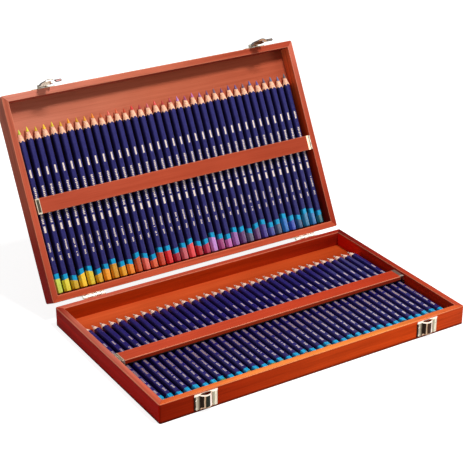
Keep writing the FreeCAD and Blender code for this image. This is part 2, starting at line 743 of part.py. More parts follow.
def bar_catch(prefix, frame, bar_spot, hinged, end):
    """The tongue on the bar's free end and the strike on the side board that it rests on."""
    side = -hinged
    face = SIDE_FACE * side
    half = S.end_leaf_broad / 2
    y = (bar_spot - half, bar_spot + half)

    tongue = end_plate(prefix + "_bar_tongue", bar_spot, end, side)
    lip_y = bar_spot - S.bar_broad / 2
    lip_x = (end, (SIDE_FACE - S.flange_in) * side)
    tongue.append(block(prefix + "_bar_tongue_lip", lip_x, (lip_y, lip_y + S.plate_thick),
                        (BAR_HIGH - S.plate_thick * 2, BAR_HIGH)))
    tools = end_holes(prefix + "_bar_tongue", end, bar_spot, tack_level())
    plate = cut(prefix + "_bar_tongue", fuse(prefix + "_bar_tongue_blank", tongue), tools)
    finish(plate, prefix + "_bar_tongue", frame)

    low = FLOOR + S.strike_low
    shelf = BAR_HIGH - S.plate_thick * 2 - S.moving_gap
    inner = (SIDE_FACE - S.shelf_reach) * side
    crest = BAR_HIGH + S.bead_round
    bead_x = (SIDE_FACE - S.flange_in + S.moving_gap + S.bead_round) * side
    strike = [
        block(prefix + "_strike_leaf", (face, face - S.plate_thick * side), y, (low, crest)),
        block(prefix + "_strike_shelf", (face, inner), y, (shelf - S.plate_thick, shelf)),
        block(prefix + "_strike_crest", (face, bead_x), y, (BAR_HIGH, crest)),
        rod(prefix + "_strike_bead", S.bead_round, "y", y, (bead_x, (BAR_HIGH + crest) / 2))]
    screw_z = (low + shelf - S.plate_thick) / 2
    tools = end_holes(prefix + "_strike", face, bar_spot, screw_z)
    bracket = cut(prefix + "_bar_strike", fuse(prefix + "_strike_blank", strike), tools)
    finish(bracket, prefix + "_bar_strike", frame)

    thick = S.plate_thick * side
    fasteners(prefix + "_bar_strike_screws", frame, TACK,
              tack_seats(face - thick, bar_spot, screw_z, -side))
    fasteners(prefix + "_bar_tongue_screws", frame, TACK,
              tack_seats(end + thick, bar_spot, tack_level(), side))
    return screw_z


# ---------------------------------------------------------------- hinges between the trays

def knuckle_spans(middle, own):
    """X ranges of a leaf's knuckles: 0 for the base leaf's three, 1 for the lid leaf's two."""
    step = S.hinge_long / 5
    start = middle - S.hinge_long / 2
    spans = []
    for place in range(own, 5, 2):
        low = start + step * place
        high = low + step
        spans.append((low if place == 0 else low + S.knuckle_gap,
                      high if place == 4 else high - S.knuckle_gap))
    return spans


def hinge_screw_spots(middle):
    """X and height of the two screws of a leaf, in its tray's frame."""
    off = S.hinge_long / 2 - S.screw_inset
    level = AXIS_HIGH - (S.hinge_leaf_tall + S.hinge_knuckle_round + S.moving_gap) / 2
    return [(middle + off * way, level) for way in (-1, 1)]


def hinge_leaf(label, frame, middle, side, own, stopped):
    """A leaf on the back of a tray; side is the way along Y that the tray's back faces."""
    face = HALF_DEPTH * side
    outer = (HALF_DEPTH + S.hinge_leaf_thick) * side
    axis_y = AXIS_BACK * side
    half = S.hinge_long / 2
    low = AXIS_HIGH - S.hinge_leaf_tall
    high = AXIS_HIGH - S.hinge_knuckle_round - S.moving_gap
    solids = [block(label + "_plate", (middle - half, middle + half), (face, outer), (low, high))]
    for index, span in enumerate(knuckle_spans(middle, own)):
        name = "%s_%d" % (label, index)
        solids.append(rod(name + "_knuckle", S.hinge_knuckle_round, "x", span, (axis_y, AXIS_HIGH)))
        solids.append(block(name + "_tongue", span, (face, outer),
                            (high - S.hinge_root, AXIS_HIGH)))
        if stopped:
            solids.append(stop_tail(name + "_stop", span, side))
    tools = [rod(label + "_bore", S.hinge_pin_round + S.pin_fit, "x",
                 (middle - half - 1.0, middle + half + 1.0), (axis_y, AXIS_HIGH))]
    for index, (x, z) in enumerate(hinge_screw_spots(middle)):
        tools.append(rod("%s_hole%d" % (label, index), S.screw_shank + S.hole_fit, "y",
                         (face, outer + 1.0 * side), (x, z)))
    leaf = cut(label, fuse(label + "_blank", solids), tools)
    finish(leaf, label, frame)


def stop_tail(name, span, side):
    """A tail on the lid leaf's knuckle, hanging just behind the base leaf when the lid is open."""
    near = S.hinge_leaf_thick + S.moving_gap - HINGE_OUT
    tail = block(name, span, (0.0, S.stop_thick), (0.0, S.stop_long))
    turn = -LID_TURN
    tail.Placement = FreeCAD.Placement(FreeCAD.Vector(),
                                       FreeCAD.Rotation(FreeCAD.Vector(1, 0, 0), turn.value))
    bind(tail, "Placement.Rotation.Angle", turn)
    bind(tail, "Placement.Base.x", ordered(span)[0])
    bind(tail, "Placement.Base.y",
         AXIS_BACK * side + near * cos(LID_TURN) - S.stop_long * sin(LID_TURN))
    bind(tail, "Placement.Base.z",
         AXIS_HIGH - near * sin(LID_TURN) - S.stop_long * cos(LID_TURN))
    return tail


def case_hinges():
    base_seats = []
    lid_seats = []
    for key, way in (("left", -1), ("right", 1)):
        middle = S.hinge_spread * way
        hinge_leaf("hinge_%s_base_leaf" % key, BASE_FRAME, middle, 1, 0, False)
        hinge_leaf("hinge_%s_lid_leaf" % key, LID_FRAME, middle, -1, 1, True)
        half = S.hinge_long / 2
        plain_pin("hinge_%s_pin" % key, BASE_FRAME, S.hinge_pin_round, "x",
                  (middle - half, middle + half), (AXIS_BACK, AXIS_HIGH))
        surface = HALF_DEPTH + S.hinge_leaf_thick
        for x, z in hinge_screw_spots(middle):
            base_seats.append(((x, surface, z), (0, 1, 0)))
            lid_seats.append(((x, -surface, z), (0, -1, 0)))
    fasteners("hinge_base_screws", BASE_FRAME, SCREW, base_seats)
    fasteners("hinge_lid_screws", LID_FRAME, SCREW, lid_seats)


# ---------------------------------------------------------------- latches

LATCH_LOW = RIM - S.latch_step - S.latch_tall           # lower edge of both latch plates
LATCH_HIGH = RIM - S.latch_step
NOSE_LOW = LATCH_LOW + S.nose_low
NOSE_HIGH = LATCH_HIGH - S.nose_slit
NOSE_CENTRE = S.nose_out - S.nose_round                 # from the board's face, outwards
HASP_Y = HALF_DEPTH + S.hasp_axis_out                   # hinge line of the hasps in the lid's frame
HASP_Z = RIM - S.hasp_axis_drop


def nail_spots(middle):
    """X and height of the four nails of a latch plate, in its tray's frame."""
    off = S.latch_broad / 2 - S.nail_inset
    low = LATCH_LOW + S.nail_inset
    levels = (low, low + S.nail_rise)
    return [(middle + off * way, level) for way in (-1, 1) for level in levels]


def nail_holes(name, middle, side):
    face = (HALF_DEPTH - 1.0) * side
    outer = (HALF_DEPTH + S.latch_thick + 1.0) * side
    return [rod("%s_hole%d" % (name, k), S.nail_shank + S.hole_fit, "y", (face, outer), spot)
            for k, spot in enumerate(nail_spots(middle))]


def latch_plate(name, middle, side):
    half = S.latch_broad / 2
    return block(name + "_plate", (middle - half, middle + half),
                 (HALF_DEPTH * side, (HALF_DEPTH + S.latch_thick) * side), (LATCH_LOW, LATCH_HIGH))


def base_catch(label, middle):
    """A pressed plate with a folded upper edge and a hollow, half-round nose."""
    centre_y = -(HALF_DEPTH + NOSE_CENTRE)
    half = S.latch_broad / 2
    far = S.nose_round * 2
    outer = rod(label + "_nose_outer", S.nose_round, "z", (NOSE_LOW, NOSE_HIGH), (middle, centre_y))
    front = block(label + "_nose_front", (middle - far, middle + far),
                  (-HALF_DEPTH, -(HALF_DEPTH + far)), (NOSE_LOW - 1.0, NOSE_HIGH + 1.0))
    lip = block(label + "_lip", (middle - half, middle + half),
                (-HALF_DEPTH, -(HALF_DEPTH + S.lip_out)),
                (LATCH_HIGH - S.latch_thick, LATCH_HIGH))
    solids = [latch_plate(label, middle, -1), common(label + "_nose", outer, front), lip]
    tools = nail_holes(label, middle, -1)
    tools.append(rod(label + "_hollow", S.nose_round - S.latch_thick, "z", (NOSE_LOW, NOSE_HIGH),
                     (middle, centre_y)))
    finish(cut(label, fuse(label + "_blank", solids), tools), label, BASE_FRAME)


def lid_plate(label, pin_label, middle):
    """The plate on the lid's front board, with the hasp's two outer knuckles and its pin."""
    solids = [latch_plate(label, middle, 1)]
    inner = S.hasp_barrel_long / 2 + S.knuckle_gap
    outer = inner + S.hasp_side_knuckle
    for key, way in (("left", -1), ("right", 1)):
        x = (middle + inner * way, middle + outer * way)
        solids.append(rod("%s_%s_knuckle" % (label, key), S.hasp_barrel_round, "x", x,
                          (HASP_Y, HASP_Z)))
        solids.append(block("%s_%s_foot" % (label, key), x, (HALF_DEPTH, HASP_Y),
                            (HASP_Z - S.hasp_barrel_round, HASP_Z + S.hasp_barrel_round)))
    tools = nail_holes(label, middle, 1)
    tools.append(rod(label + "_bore", S.hasp_pin_round + S.pin_fit, "x",
                     (middle - outer - 1.0, middle + outer + 1.0), (HASP_Y, HASP_Z)))
    finish(cut(label, fuse(label + "_blank", solids), tools), label, LID_FRAME)
    plain_pin(pin_label, LID_FRAME, S.hasp_pin_round, "x", (middle - outer, middle + outer),
              (HASP_Y, HASP_Z))


def hasp(label, middle):
    """The lever that drops over the nose: an arch, a strip on to the hook, and a finger tab."""
    frame = Frame(*lid_spot(HASP_Y, HASP_Z), LID_TURN)
    to_rim = S.hasp_axis_drop + S.rim_gap               # from the hinge line to the base's rim
    start = to_rim + (RIM - NOSE_HIGH) - S.moving_gap - S.latch_thick
    end = to_rim + (RIM - NOSE_LOW) + S.moving_gap + S.latch_thick
    arch_inner = S.nose_round + S.hasp_gap
    arch_outer = arch_inner + S.latch_thick
    centre = NOSE_CENTRE - S.hasp_axis_out              # arch's centre from the hinge line
    skirt = S.lip_out + S.hasp_skirt_gap - S.hasp_axis_out      # the arch's lower edges
    bite = S.nose_out - S.hasp_bite - S.hasp_axis_out   # how far in the hook reaches
    far = arch_outer * 2
    half = S.hasp_barrel_long / 2
    crown = S.hasp_crown_broad / 2

    outer = rod(label + "_outer", arch_outer, "z", (start, end), (middle, centre))
    front = block(label + "_front", (middle - far, middle + far), (skirt, far), (0.0, end + 1.0))
    shell = common(label + "_shell", outer, front)
    tools = [rod(label + "_hollow", arch_inner, "z",
                 (start + S.latch_thick, end - S.latch_thick), (middle, centre)),
             block(label + "_mouth", (middle - far, middle + far), (skirt - 1.0, bite),
                   (end - S.latch_thick - 1.0, end + 1.0))]
    for key, way in (("left", -1), ("right", 1)):
        tools.append(block("%s_%s_side" % (label, key), (middle + crown * way, middle + far * way),
                           (skirt - 1.0, far), (start + S.hasp_arch_long, end + 1.0)))
    arch = cut(label + "_arch", shell, tools)
    barrel = rod(label + "_barrel", S.hasp_barrel_round, "x", (middle - half, middle + half),
                 (0.0, 0.0))
    web = block(label + "_web", (middle - half, middle + half),
                (-S.latch_thick / 2, S.latch_thick / 2), (0.0, start + S.latch_thick))
    tab_high = bite + S.tab_lap
    tab_y = (tab_high - S.tab_broad, tab_high)
    tab_end = middle + S.tab_reach - S.tab_broad / 2
    thick = (end - S.latch_thick, end)
    tab = block(label + "_tab", (middle + crown - S.tab_broad, tab_end), tab_y, thick)
    tab_tip = rod(label + "_tab_end", S.tab_broad / 2, "z", thick,
                  (tab_end, tab_high - S.tab_broad / 2))
    bore = rod(label + "_bore", S.hasp_pin_round + S.pin_fit, "x",
               (middle - half - 1.0, middle + half + 1.0), (0.0, 0.0))
    lever = cut(label, fuse(label + "_blank", [arch, barrel, web, tab, tab_tip]), [bore])
    finish(lever, label, frame)


def latches():
    base_seats = []
    lid_seats = []
    for key, way in (("left", -1), ("right", 1)):
        middle = S.latch_spread * way
        base_catch("base_catch_" + key, middle)
        lid_plate("lid_latch_plate_" + key, "hasp_%s_pin" % key, middle)
        hasp("hasp_" + key, middle)
        surface = HALF_DEPTH + S.latch_thick
        for x, z in nail_spots(middle):
            base_seats.append(((x, -surface, z), (0, -1, 0)))
            lid_seats.append(((x, surface, z), (0, 1, 0)))
    fasteners("base_catch_nails", BASE_FRAME, NAIL, base_seats)
    fasteners("lid_latch_nails", LID_FRAME, NAIL, lid_seats)


# ---------------------------------------------------------------- the whole case

def both_sides(spots_at, spread):
    return spots_at(-spread) + spots_at(spread)


def tray(prefix, frame, panel_label, bar_spot, hinged, latch_side, phase):
    """One tray with its pencils; latch_side is where its latches are along its own Y."""
    boards = {
        latch_side: long_board(prefix + "_front_board", frame, latch_side),
        -latch_side: long_board(prefix + "_back_board", frame, -latch_side)}
    sides = {
        -1: side_board(prefix + "_left_board", frame, -1),
        1: side_board(prefix + "_right_board", frame, 1)}
    panel(panel_label, frame)
    rack(prefix + "_pencil_rack", frame, bar_spot)
    pencil_row(prefix, frame, phase)
    hinge_end, free_end = retaining_bar(prefix, frame, bar_spot, hinged)
    hinge_tack = bar_hinge(prefix, frame, bar_spot, hinged, hinge_end)
    strike_tack = bar_catch(prefix, frame, bar_spot, hinged, free_end)

    # An XZ plane's normal points along -Y, so a face at y lies at the offset -y.
    drill(boards[latch_side], prefix + "_nail_holes", "XZ_Plane", -HALF_DEPTH * latch_side,
          both_sides(nail_spots, S.latch_spread), S.nail_shank,
          S.nail_long - S.latch_thick + S.hole_extra)
    drill(boards[-latch_side], prefix + "_screw_holes", "XZ_Plane", HALF_DEPTH * latch_side,
          both_sides(hinge_screw_spots, S.hinge_spread), S.screw_shank,
          S.screw_long - S.hinge_leaf_thick + S.hole_extra)
    deep = S.tack_long - S.plate_thick + S.hole_extra
    for side, level in ((hinged, hinge_tack), (-hinged, strike_tack)):
        spots = [(bar_spot + S.tack_spread * way, level) for way in (-1, 1)]
        drill(sides[side], "%s_tack_holes_%d" % (prefix, side + 1), "YZ_Plane", SIDE_FACE * side,
              spots, S.tack_shank, deep)


def check_document():
    """Stop if a feature failed, a pocket cut nothing, or a sub-part isn't a valid solid."""
    for item in doc.Objects:
        if "Invalid" in item.State or "Error" in item.State:
            raise RuntimeError("%s failed: %s" % (item.Name, item.State))
        if item.TypeId == "PartDesign::Pocket":
            removed = item.BaseFeature.Shape.Volume - item.Shape.Volume
            if removed < 0.01:
                raise RuntimeError("%s cuts nothing" % item.Name)
    for item in SUBPARTS:
        shape = item.Shape
        if shape.isNull() or not shape.isValid() or not shape.Solids:
            raise RuntimeError("%s has no valid shape" % item.Label)


tray("base", BASE_FRAME, "base_floor_panel", S.base_bar_spot, 1, -1, 0.7)
tray("lid", LID_FRAME, "lid_panel", S.lid_bar_spot, -1, 1, 2.1)
case_hinges()
latches()
doc.recompute()
check_document()

os.makedirs("parts", exist_ok=True)
for item in SUBPARTS:
    item.Shape.exportStep("parts/%s.step" % item.Label)
    print("%-28s %2d solids %10.1f mm3" % (item.Label, len(item.Shape.Solids), item.Shape.Volume))
print("%d sub-parts" % len(SUBPARTS))
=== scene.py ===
"""Looks for the hinged pencil case: stained wood, lacquered pencils, plated fittings, light and camera."""

import json
import math

import bmesh
import bpy
from mathutils import Matrix, Vector


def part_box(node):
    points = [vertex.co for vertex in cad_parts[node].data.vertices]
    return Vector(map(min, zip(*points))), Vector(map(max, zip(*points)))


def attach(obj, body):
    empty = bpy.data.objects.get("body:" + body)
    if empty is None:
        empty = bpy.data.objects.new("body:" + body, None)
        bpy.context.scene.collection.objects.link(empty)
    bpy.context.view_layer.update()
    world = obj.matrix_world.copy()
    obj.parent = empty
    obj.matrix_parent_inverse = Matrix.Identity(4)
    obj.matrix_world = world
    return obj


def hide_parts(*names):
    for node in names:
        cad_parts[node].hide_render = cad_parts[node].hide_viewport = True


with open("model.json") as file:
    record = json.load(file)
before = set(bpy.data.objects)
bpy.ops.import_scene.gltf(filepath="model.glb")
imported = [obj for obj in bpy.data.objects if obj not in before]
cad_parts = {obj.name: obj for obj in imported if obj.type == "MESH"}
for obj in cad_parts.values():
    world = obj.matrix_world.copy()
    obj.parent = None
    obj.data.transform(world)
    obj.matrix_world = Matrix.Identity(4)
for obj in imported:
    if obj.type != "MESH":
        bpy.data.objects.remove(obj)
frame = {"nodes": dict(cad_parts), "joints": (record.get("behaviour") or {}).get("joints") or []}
NODES = frame["nodes"]
JOINTS = {joint["name"]: joint for joint in frame["joints"]}
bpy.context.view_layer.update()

# ---------------------------------------------------------------- sizes from the frame, in metres

MM = 0.001
HALF_WIDTH = -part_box("base_left_board")[0].x
HALF_DEPTH = -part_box("base_front_board")[0].y
SIDE_FACE = -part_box("base_left_board")[1].x     # inner face of the side boards
WALL = HALF_WIDTH - SIDE_FACE
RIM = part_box("base_left_board")[1].z
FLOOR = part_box("base_floor_panel")[1].z         # inner face of a tray's panel

# The lid's own frame is flat, like the base's.  Shut, the lid is turned by 180 degrees, and standing
# open, by that less the hinge's range.
HINGE = Vector(JOINTS["lid_hinge"]["pos_m"])
LID_TURN = math.radians(180 + JOINTS["lid_hinge"]["range_deg"][0])
LID_MATRIX = (Matrix.Translation(HINGE) @ Matrix.Rotation(LID_TURN, 4, "X")
              @ Matrix.Translation(Vector((0, HINGE.y, -HINGE.z))))
TRAYS = {"base": Matrix.Identity(4), "lid": LID_MATRIX}
TILT = {"base": 0.0, "lid": LID_TURN}
# Turned back by LID_TURN about the model's X axis, the lid's own origin lies here.
LID_ORIGIN = Matrix.Rotation(-LID_TURN, 4, "X") @ LID_MATRIX @ Vector((0, 0, 0))

BAR_LOW, BAR_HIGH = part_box("base_bar")
BAR_FACE = BAR_HIGH.z
BAR_HALF = (BAR_HIGH.y - BAR_LOW.y) / 2
# The bars' middle lines, which their hinges stand on, in each tray's own frame.
BAR_Y = {tray: (matrix.inverted() @ Vector(JOINTS[tray + "_bar_hinge"]["pos_m"])).y
         for tray, matrix in TRAYS.items()}

PENCILS = 36
CASING_LOW, CASING_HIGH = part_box("base_pencil_casings")
FLATS = CASING_HIGH.z - CASING_LOW.z            # width of a barrel across its flats
CORNER = FLATS / math.sqrt(3)                   # from its axis to its corners
PITCH = (CASING_HIGH.x - CASING_LOW.x - 2 * CORNER) / (PENCILS - 1)
AXIS_Z = (CASING_LOW.z + CASING_HIGH.z) / 2
BLUNT_Y = CASING_LOW.y
TIP_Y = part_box("base_pencil_leads")[1].y

# ---------------------------------------------------------------- the looks' own sizes, in metres

CONE = 14.5 * MM                                # from the point to the barrel's corners
POINT = 0.35 * MM                               # radius of a lead's worn point
SLOPE = (CORNER - POINT) / CONE
LEAD_SEEN = {"base": 1.5 * MM, "lid": 1.8 * MM}     # radius of a lead where the wood ends
WEAR = 1.6 * MM                                 # how much shorter the most worn pencil is
WEAR_PHASE = {"base": 0.7, "lid": 2.1}          # so that the trays don't wear alike
DIP_LEAST = 9.0 * MM                            # shortest coat of paint on a blunt end
DIP_MORE = {"base": 3.0 * MM, "lid": 6.5 * MM}  # what the longest one has on top of that
BAND_LONG = 5.5 * MM                            # the turquoise ring
FOIL_SUNK = 0.1 * MM                            # the foil marks, under and over the barrel's flat
FOIL_PROUD = 0.025 * MM

SIDE_DROP = 0.7 * MM                            # below a board's face by this, its sides begin
PANEL_FACE = FLOOR - 0.5 * MM                   # above this is a panel's inner face
MITRE_HALF = 0.35 * MM                          # half the width of a mitre's dark line
MITRE_DEEP = 0.3 * MM
HIGHLIGHT_BROAD = 0.75 * MM                           # how far the painted highlight along the edges reaches
HIGHLIGHT_BOARDS = 0.55                               # how strong it is, from 0 to 1
HIGHLIGHT_BARS = {"base": 0.9, "lid": 0.3}
SHADE_END = TIP_Y - 14 * MM                     # painted shade on the panels, under the pencils, reaches up to here
SCRATCH_DEEP = 0.03 * MM
CATCH_FOLD = 17.4 * MM                          # a catch's folded upper edge begins here
CATCH_LOW_EDGE = 5.2 * MM                       # its lower edge ends here
ARCH_ROUND = 7.8 * MM                           # inside of a hasp's arch
ARCH_CENTRE = -5.4 * MM                         # outwards from the hasp's hinge line
TAB_X = (7.4 * MM, 13.2 * MM)                   # a hasp's finger tab, right of its middle

SKY_LIGHT = 0.22                                # strength of the light from all around
FLOOR_GLOW = 0.86                               # white added to the floor for the camera
CAMERA_LENS = 107.81                            # in millimetres
CAMERA_PLACE = (-0.6914, -1.0595, 0.7050)
CAMERA_DOWN = math.radians(25.361)
CAMERA_HEADING = math.radians(-31.849)


# ---------------------------------------------------------------- node trees

def is_socket(value):
    return isinstance(value, bpy.types.NodeSocket)


def srgb(red, green, blue):
    """A colour written as 0 to 255 screen values."""
    return tuple((value / 255 / 12.92) if value / 255 <= 0.04045
                 else ((value / 255 + 0.055) / 1.055) ** 2.4 for value in (red, green, blue))


class Graph:
    """A node tree with short calls for the nodes used here."""

    def __init__(self, node_tree):
        self.nodes = node_tree.nodes
        self.links = node_tree.links
        self.nodes.clear()

    def plug(self, socket, value):
        """Link a socket to another one, or set it to a value."""
        if is_socket(value):
            self.links.new(value, socket)
        else:
            socket.default_value = value

    def add(self, kind, values=None, **fields):
        """A new node, with values for its inputs and fields for its own settings."""
        node = self.nodes.new(kind)
        for key, value in fields.items():
            setattr(node, key, value)
        for key, value in (values or {}).items():
            self.plug(node.inputs[key], value)
        return node

    def place(self, stretch, tilt=0.0, shift=(0, 0, 0)):
        """Object coordinates, turned back by the tray's tilt and stretched, alike or by x, y and z."""
        scale = stretch if isinstance(stretch, tuple) else (stretch, stretch, stretch)
        source = self.add("ShaderNodeTexCoord").outputs["Object"]
        if tilt:
            source = self.add("ShaderNodeVectorRotate", {"Vector": source, "Angle": -tilt},
                              rotation_type="X_AXIS").outputs[0]
        return self.add("ShaderNodeMapping",
                        {"Vector": source, "Scale": scale, "Location": shift}).outputs[0]

    def noise(self, stretch, tilt=0.0, shift=(0, 0, 0), scale=1.0, detail=4.0, rough=0.55, distort=0.0):
        """Noise over the object's coordinates as place() gives them."""
        return self.add("ShaderNodeTexNoise", {
            "Vector": self.place(stretch, tilt, shift), "Scale": scale, "Detail": detail,
            "Roughness": rough, "Distortion": distort}).outputs["Fac"]

    def ramp(self, value, stops):
        """A colour for each value; stops are (value, colour)."""
        node = self.add("ShaderNodeValToRGB", {"Fac": value})
        elements = node.color_ramp.elements
        while len(elements) > 1:
            elements.remove(elements[-1])
        for index, (place, colour) in enumerate(stops):
            element = elements[0] if index == 0 else elements.new(place)
            element.position = place
            element.color = (*colour, 1)
        return node.outputs["Color"]

    def banded(self, value, stops):
        """A colour for each length; stops are (millimetres, colour as srgb() takes it)."""
        low, high = stops[0][0], stops[-1][0]
        part = self.add("ShaderNodeMapRange", {"Value": value, "From Min": low * MM,
                                               "From Max": high * MM}).outputs[0]
        return self.ramp(part, [((place - low) / (high - low), srgb(*tone)) for place, tone in stops])

    def mix(self, a, b, amount, kind="MIX"):
        """Colour a with this amount of colour b over it."""
        node = self.add("ShaderNodeMix", {0: amount}, data_type="RGBA", blend_type=kind)
        for index, colour in ((6, a), (7, b)):
            self.plug(node.inputs[index], colour if is_socket(colour) else (*colour, 1))
        return node.outputs[2]

    def filtered(self, colour, tint, amount=1.0):
        """A colour seen through a tint."""
        return self.mix(colour, tint, amount, "MULTIPLY")

    def spread(self, value, low, high):
        """A value from 0 to 1 turned into one from low to high."""
        return self.add("ShaderNodeMapRange",
                        {"Value": value, "To Min": low, "To Max": high}).outputs[0]

    def math(self, kind, a, b=0.0, c=0.0):
        """What a Math node of this kind makes of its numbers."""
        return self.add("ShaderNodeMath", {0: a, 1: b, 2: c}, operation=kind).outputs[0]

    def times(self, a, b):
        """A product, which for two masks is where both hold."""
        return self.math("MULTIPLY", a, b)

    def within(self, value, low, high):
        """1 between two limits, 0 outside them."""
        return self.math("COMPARE", value, (low + high) / 2, (high - low) / 2)

    def apart(self, vector):
        """The three numbers of a vector."""
        return self.add("ShaderNodeSeparateXYZ", {0: vector}).outputs

    def tray_point(self, tilt):
        """x, y and z in the tray's own frame."""
        x, y, z = self.apart(self.place(1, tilt))
        if tilt:
            y = self.math("SUBTRACT", y, LID_ORIGIN.y)
            z = self.math("SUBTRACT", z, LID_ORIGIN.z)
        return x, y, z

    def bump(self, value, height, strength=1.0):
        """A normal for a surface that rises by this height as the value goes from 0 to 1."""
        return self.add("ShaderNodeBump", {
            "Height": value, "Distance": height, "Strength": strength}).outputs[0]

    def seen(self):
        """1 for what the camera sees, itself or in metal and glass, and 0 for light on its way."""
        path = self.add("ShaderNodeLightPath").outputs
        direct = self.math("MAXIMUM", path["Is Camera Ray"], path["Is Glossy Ray"])
        return self.math("MAXIMUM", direct, path["Is Transmission Ray"])


class Tree(Graph):
    """A material's node tree around one Principled shader."""

    def __init__(self, name):
        self.material = bpy.data.materials.new(name)
        self.material.use_nodes = True
        super().__init__(self.material.node_tree)
        self.shader = self.add("ShaderNodeBsdfPrincipled")
        self.output = self.add("ShaderNodeOutputMaterial", {"Surface": self.shader.outputs[0]})

    def set(self, **values):
        """Set or link the shader's inputs, with _ for each space in their names."""
        for key, value in values.items():
            self.plug(self.shader.inputs[key.replace("_", " ")], value)


# ---------------------------------------------------------------- wood

def wood(name, grain, tones, tilt=0.0, shift=(0, 0, 0), gloss=0.42, figure_depth=0.5, pores=0.25,
         seams=False, edges=None, shaded=False, top=RIM, sides=None, shade_across=None, foot=None):
    """Stained, varnished wood with its grain along x or y of the tray.

    tones are (place, colour) along the grain, the place in millimetres; the stain, with painted light
    and shade in it, drifts from one to the next.  sides are the same for what lies below the face at
    top, with their own painted light and shade, and shade_across is a filter across the grain that
    paints shade.  seams draws the mitre joints, and edges are the two long edges to paint pale as a
    highlight, from the tray's middle line, and how strongly; shaded paints shade on what lies under
    the pencils, and foot is a filter over the height.
    """
    def along_grain(slow, fast):
        return (slow, fast, fast) if grain == "x" else (fast, slow, fast)

    tree = Tree(name)
    figure = tree.noise(along_grain(9, 260), tilt, shift, scale=0.55, detail=6, rough=0.6, distort=0.9)
    fibres = tree.noise(along_grain(40, 1500), tilt, shift, scale=0.6, detail=3, rough=0.7)
    cloud = tree.noise(14, tilt, shift, detail=3, rough=0.5)
    x, y, z = tree.tray_point(tilt)
    along, across = (x, y) if grain == "x" else (y, x)
    # The stain with painted light and shade along the grain; below the face, the sides' own painted light
    # and shade.
    colour = tree.banded(along, tones)
    if sides:
        colour = tree.mix(colour, tree.banded(along, sides), tree.math("LESS_THAN", z, top - SIDE_DROP))
    # Painted shade across a panel's inner face.
    if shade_across:
        colour = tree.filtered(colour, tree.banded(across, shade_across), tree.math("GREATER_THAN", z, PANEL_FACE))
    if foot:
        colour = tree.filtered(colour, tree.banded(z, foot))
    dark = 1 - 0.42 * figure_depth
    pale = 1 + 0.32 * figure_depth
    rings = tree.ramp(figure, [(0.30, (dark, dark * 0.94, dark * 0.9)), (0.50, (1, 1, 1)),
                               (0.72, (pale, pale * 1.06, pale * 1.08))])
    streaks = tree.ramp(fibres, [(0.36, (0.62, 0.54, 0.5)), (0.52, (1, 1, 1))])
    patches = tree.ramp(cloud, [(0.3, (0.86, 0.82, 0.80)), (0.7, (1.07, 1.08, 1.09))])
    colour = tree.filtered(colour, rings)
    colour = tree.filtered(colour, streaks, pores)
    colour = tree.filtered(colour, patches, 0.6)
    if seams:
        colour = mitre_lines(tree, colour, x, y, z)
    if edges:
        colour = highlit_edges(tree, colour, fibres, across, edges, top, z)
    if shaded:
        # Painted shade: the panel near black where it lies under the pencils.
        under = tree.times(tree.math("LESS_THAN", y, SHADE_END), tree.math("GREATER_THAN", z, PANEL_FACE))
        colour = tree.mix(colour, srgb(34, 8, 6), tree.times(under, 0.85))
    tree.set(Base_Color=colour, Roughness=tree.spread(fibres, gloss - 0.05, gloss + 0.14),
             Specular_IOR_Level=0.012, Normal=tree.bump(tree.math("ADD", fibres, figure), 0.12 * MM, 0.5))
    return tree.material


def mitre_lines(tree, colour, x, y, z):
    """A thin dark line on the rim where two boards meet at a corner."""
    from_end = tree.math("SUBTRACT", HALF_WIDTH, tree.math("ABSOLUTE", x))
    from_back = tree.math("SUBTRACT", HALF_DEPTH, tree.math("ABSOLUTE", y))
    off_mitre = tree.math("ABSOLUTE", tree.math("SUBTRACT", from_end, from_back))
    line = tree.times(tree.math("LESS_THAN", off_mitre, MITRE_HALF),
                      tree.math("GREATER_THAN", z, RIM - MITRE_DEEP))
    return tree.mix(colour, srgb(120, 36, 18), tree.times(line, 0.45))


def highlit_edges(tree, colour, fibres, place, edges, top, z):
    """Pale along a board's long edges, at its upper face: a painted highlight where the eased edges catch
    the light.
    """
    low, high, strength = edges
    if low > 0:
        place = tree.math("ABSOLUTE", place)
    middle, half = (low + high) / 2, (high - low) / 2
    to_side = tree.math("SUBTRACT", half, tree.math("ABSOLUTE", tree.math("SUBTRACT", place, middle)))
    from_edge = tree.math("MAXIMUM", to_side, tree.math("SUBTRACT", top, z))
    # Painted highlight along the edges.
    highlit = tree.times(tree.math("LESS_THAN", from_edge, HIGHLIGHT_BROAD),
                        tree.spread(fibres, 0.3 * strength, strength))
    return tree.mix(colour, tree.mix(colour, srgb(255, 190, 150), 0.5), highlit)


def foam(name):
    """Dark foam with open cells."""
    tree = Tree(name)
    cells = tree.noise(1500, detail=3, rough=0.6)
    tree.set(Base_Color=tree.ramp(cells, [(0.35, srgb(18, 10, 9)), (0.65, srgb(48, 26, 22))]),
             Roughness=0.95, Normal=tree.bump(cells, 0.2 * MM, 0.8))
    return tree.material


# ---------------------------------------------------------------- metal

def plate_finish(tree, colour, metallic, rough, waves=0.0):
    """Fine scratches over a plate; rough is its least and most roughness, waves a swell's height."""
    scratches = tree.noise((900, 2600, 900), detail=4, rough=0.65)
    swell = tree.times(tree.noise(380, detail=1, rough=0.5), waves / SCRATCH_DEEP)
    tree.set(Base_Color=colour, Metallic=metallic, Roughness=tree.spread(scratches, *rough),
             Normal=tree.bump(tree.math("ADD", scratches, swell), SCRATCH_DEEP, 0.5))
    return tree.material


def plated(name, tone, rough=0.24, dirt=0.5, waves=0.0):
    """Nickel plate with dull spots and a little tarnish."""
    tree = Tree(name)
    spots = tree.noise(220, detail=5, rough=0.6)
    tarnish = tree.ramp(spots, [(0.38, srgb(86, 74, 58)), (0.58, srgb(*tone))])
    colour = tree.mix(srgb(*tone), tarnish, dirt)
    return plate_finish(tree, colour, 1.0, (rough - 0.08, rough + 0.16), waves)


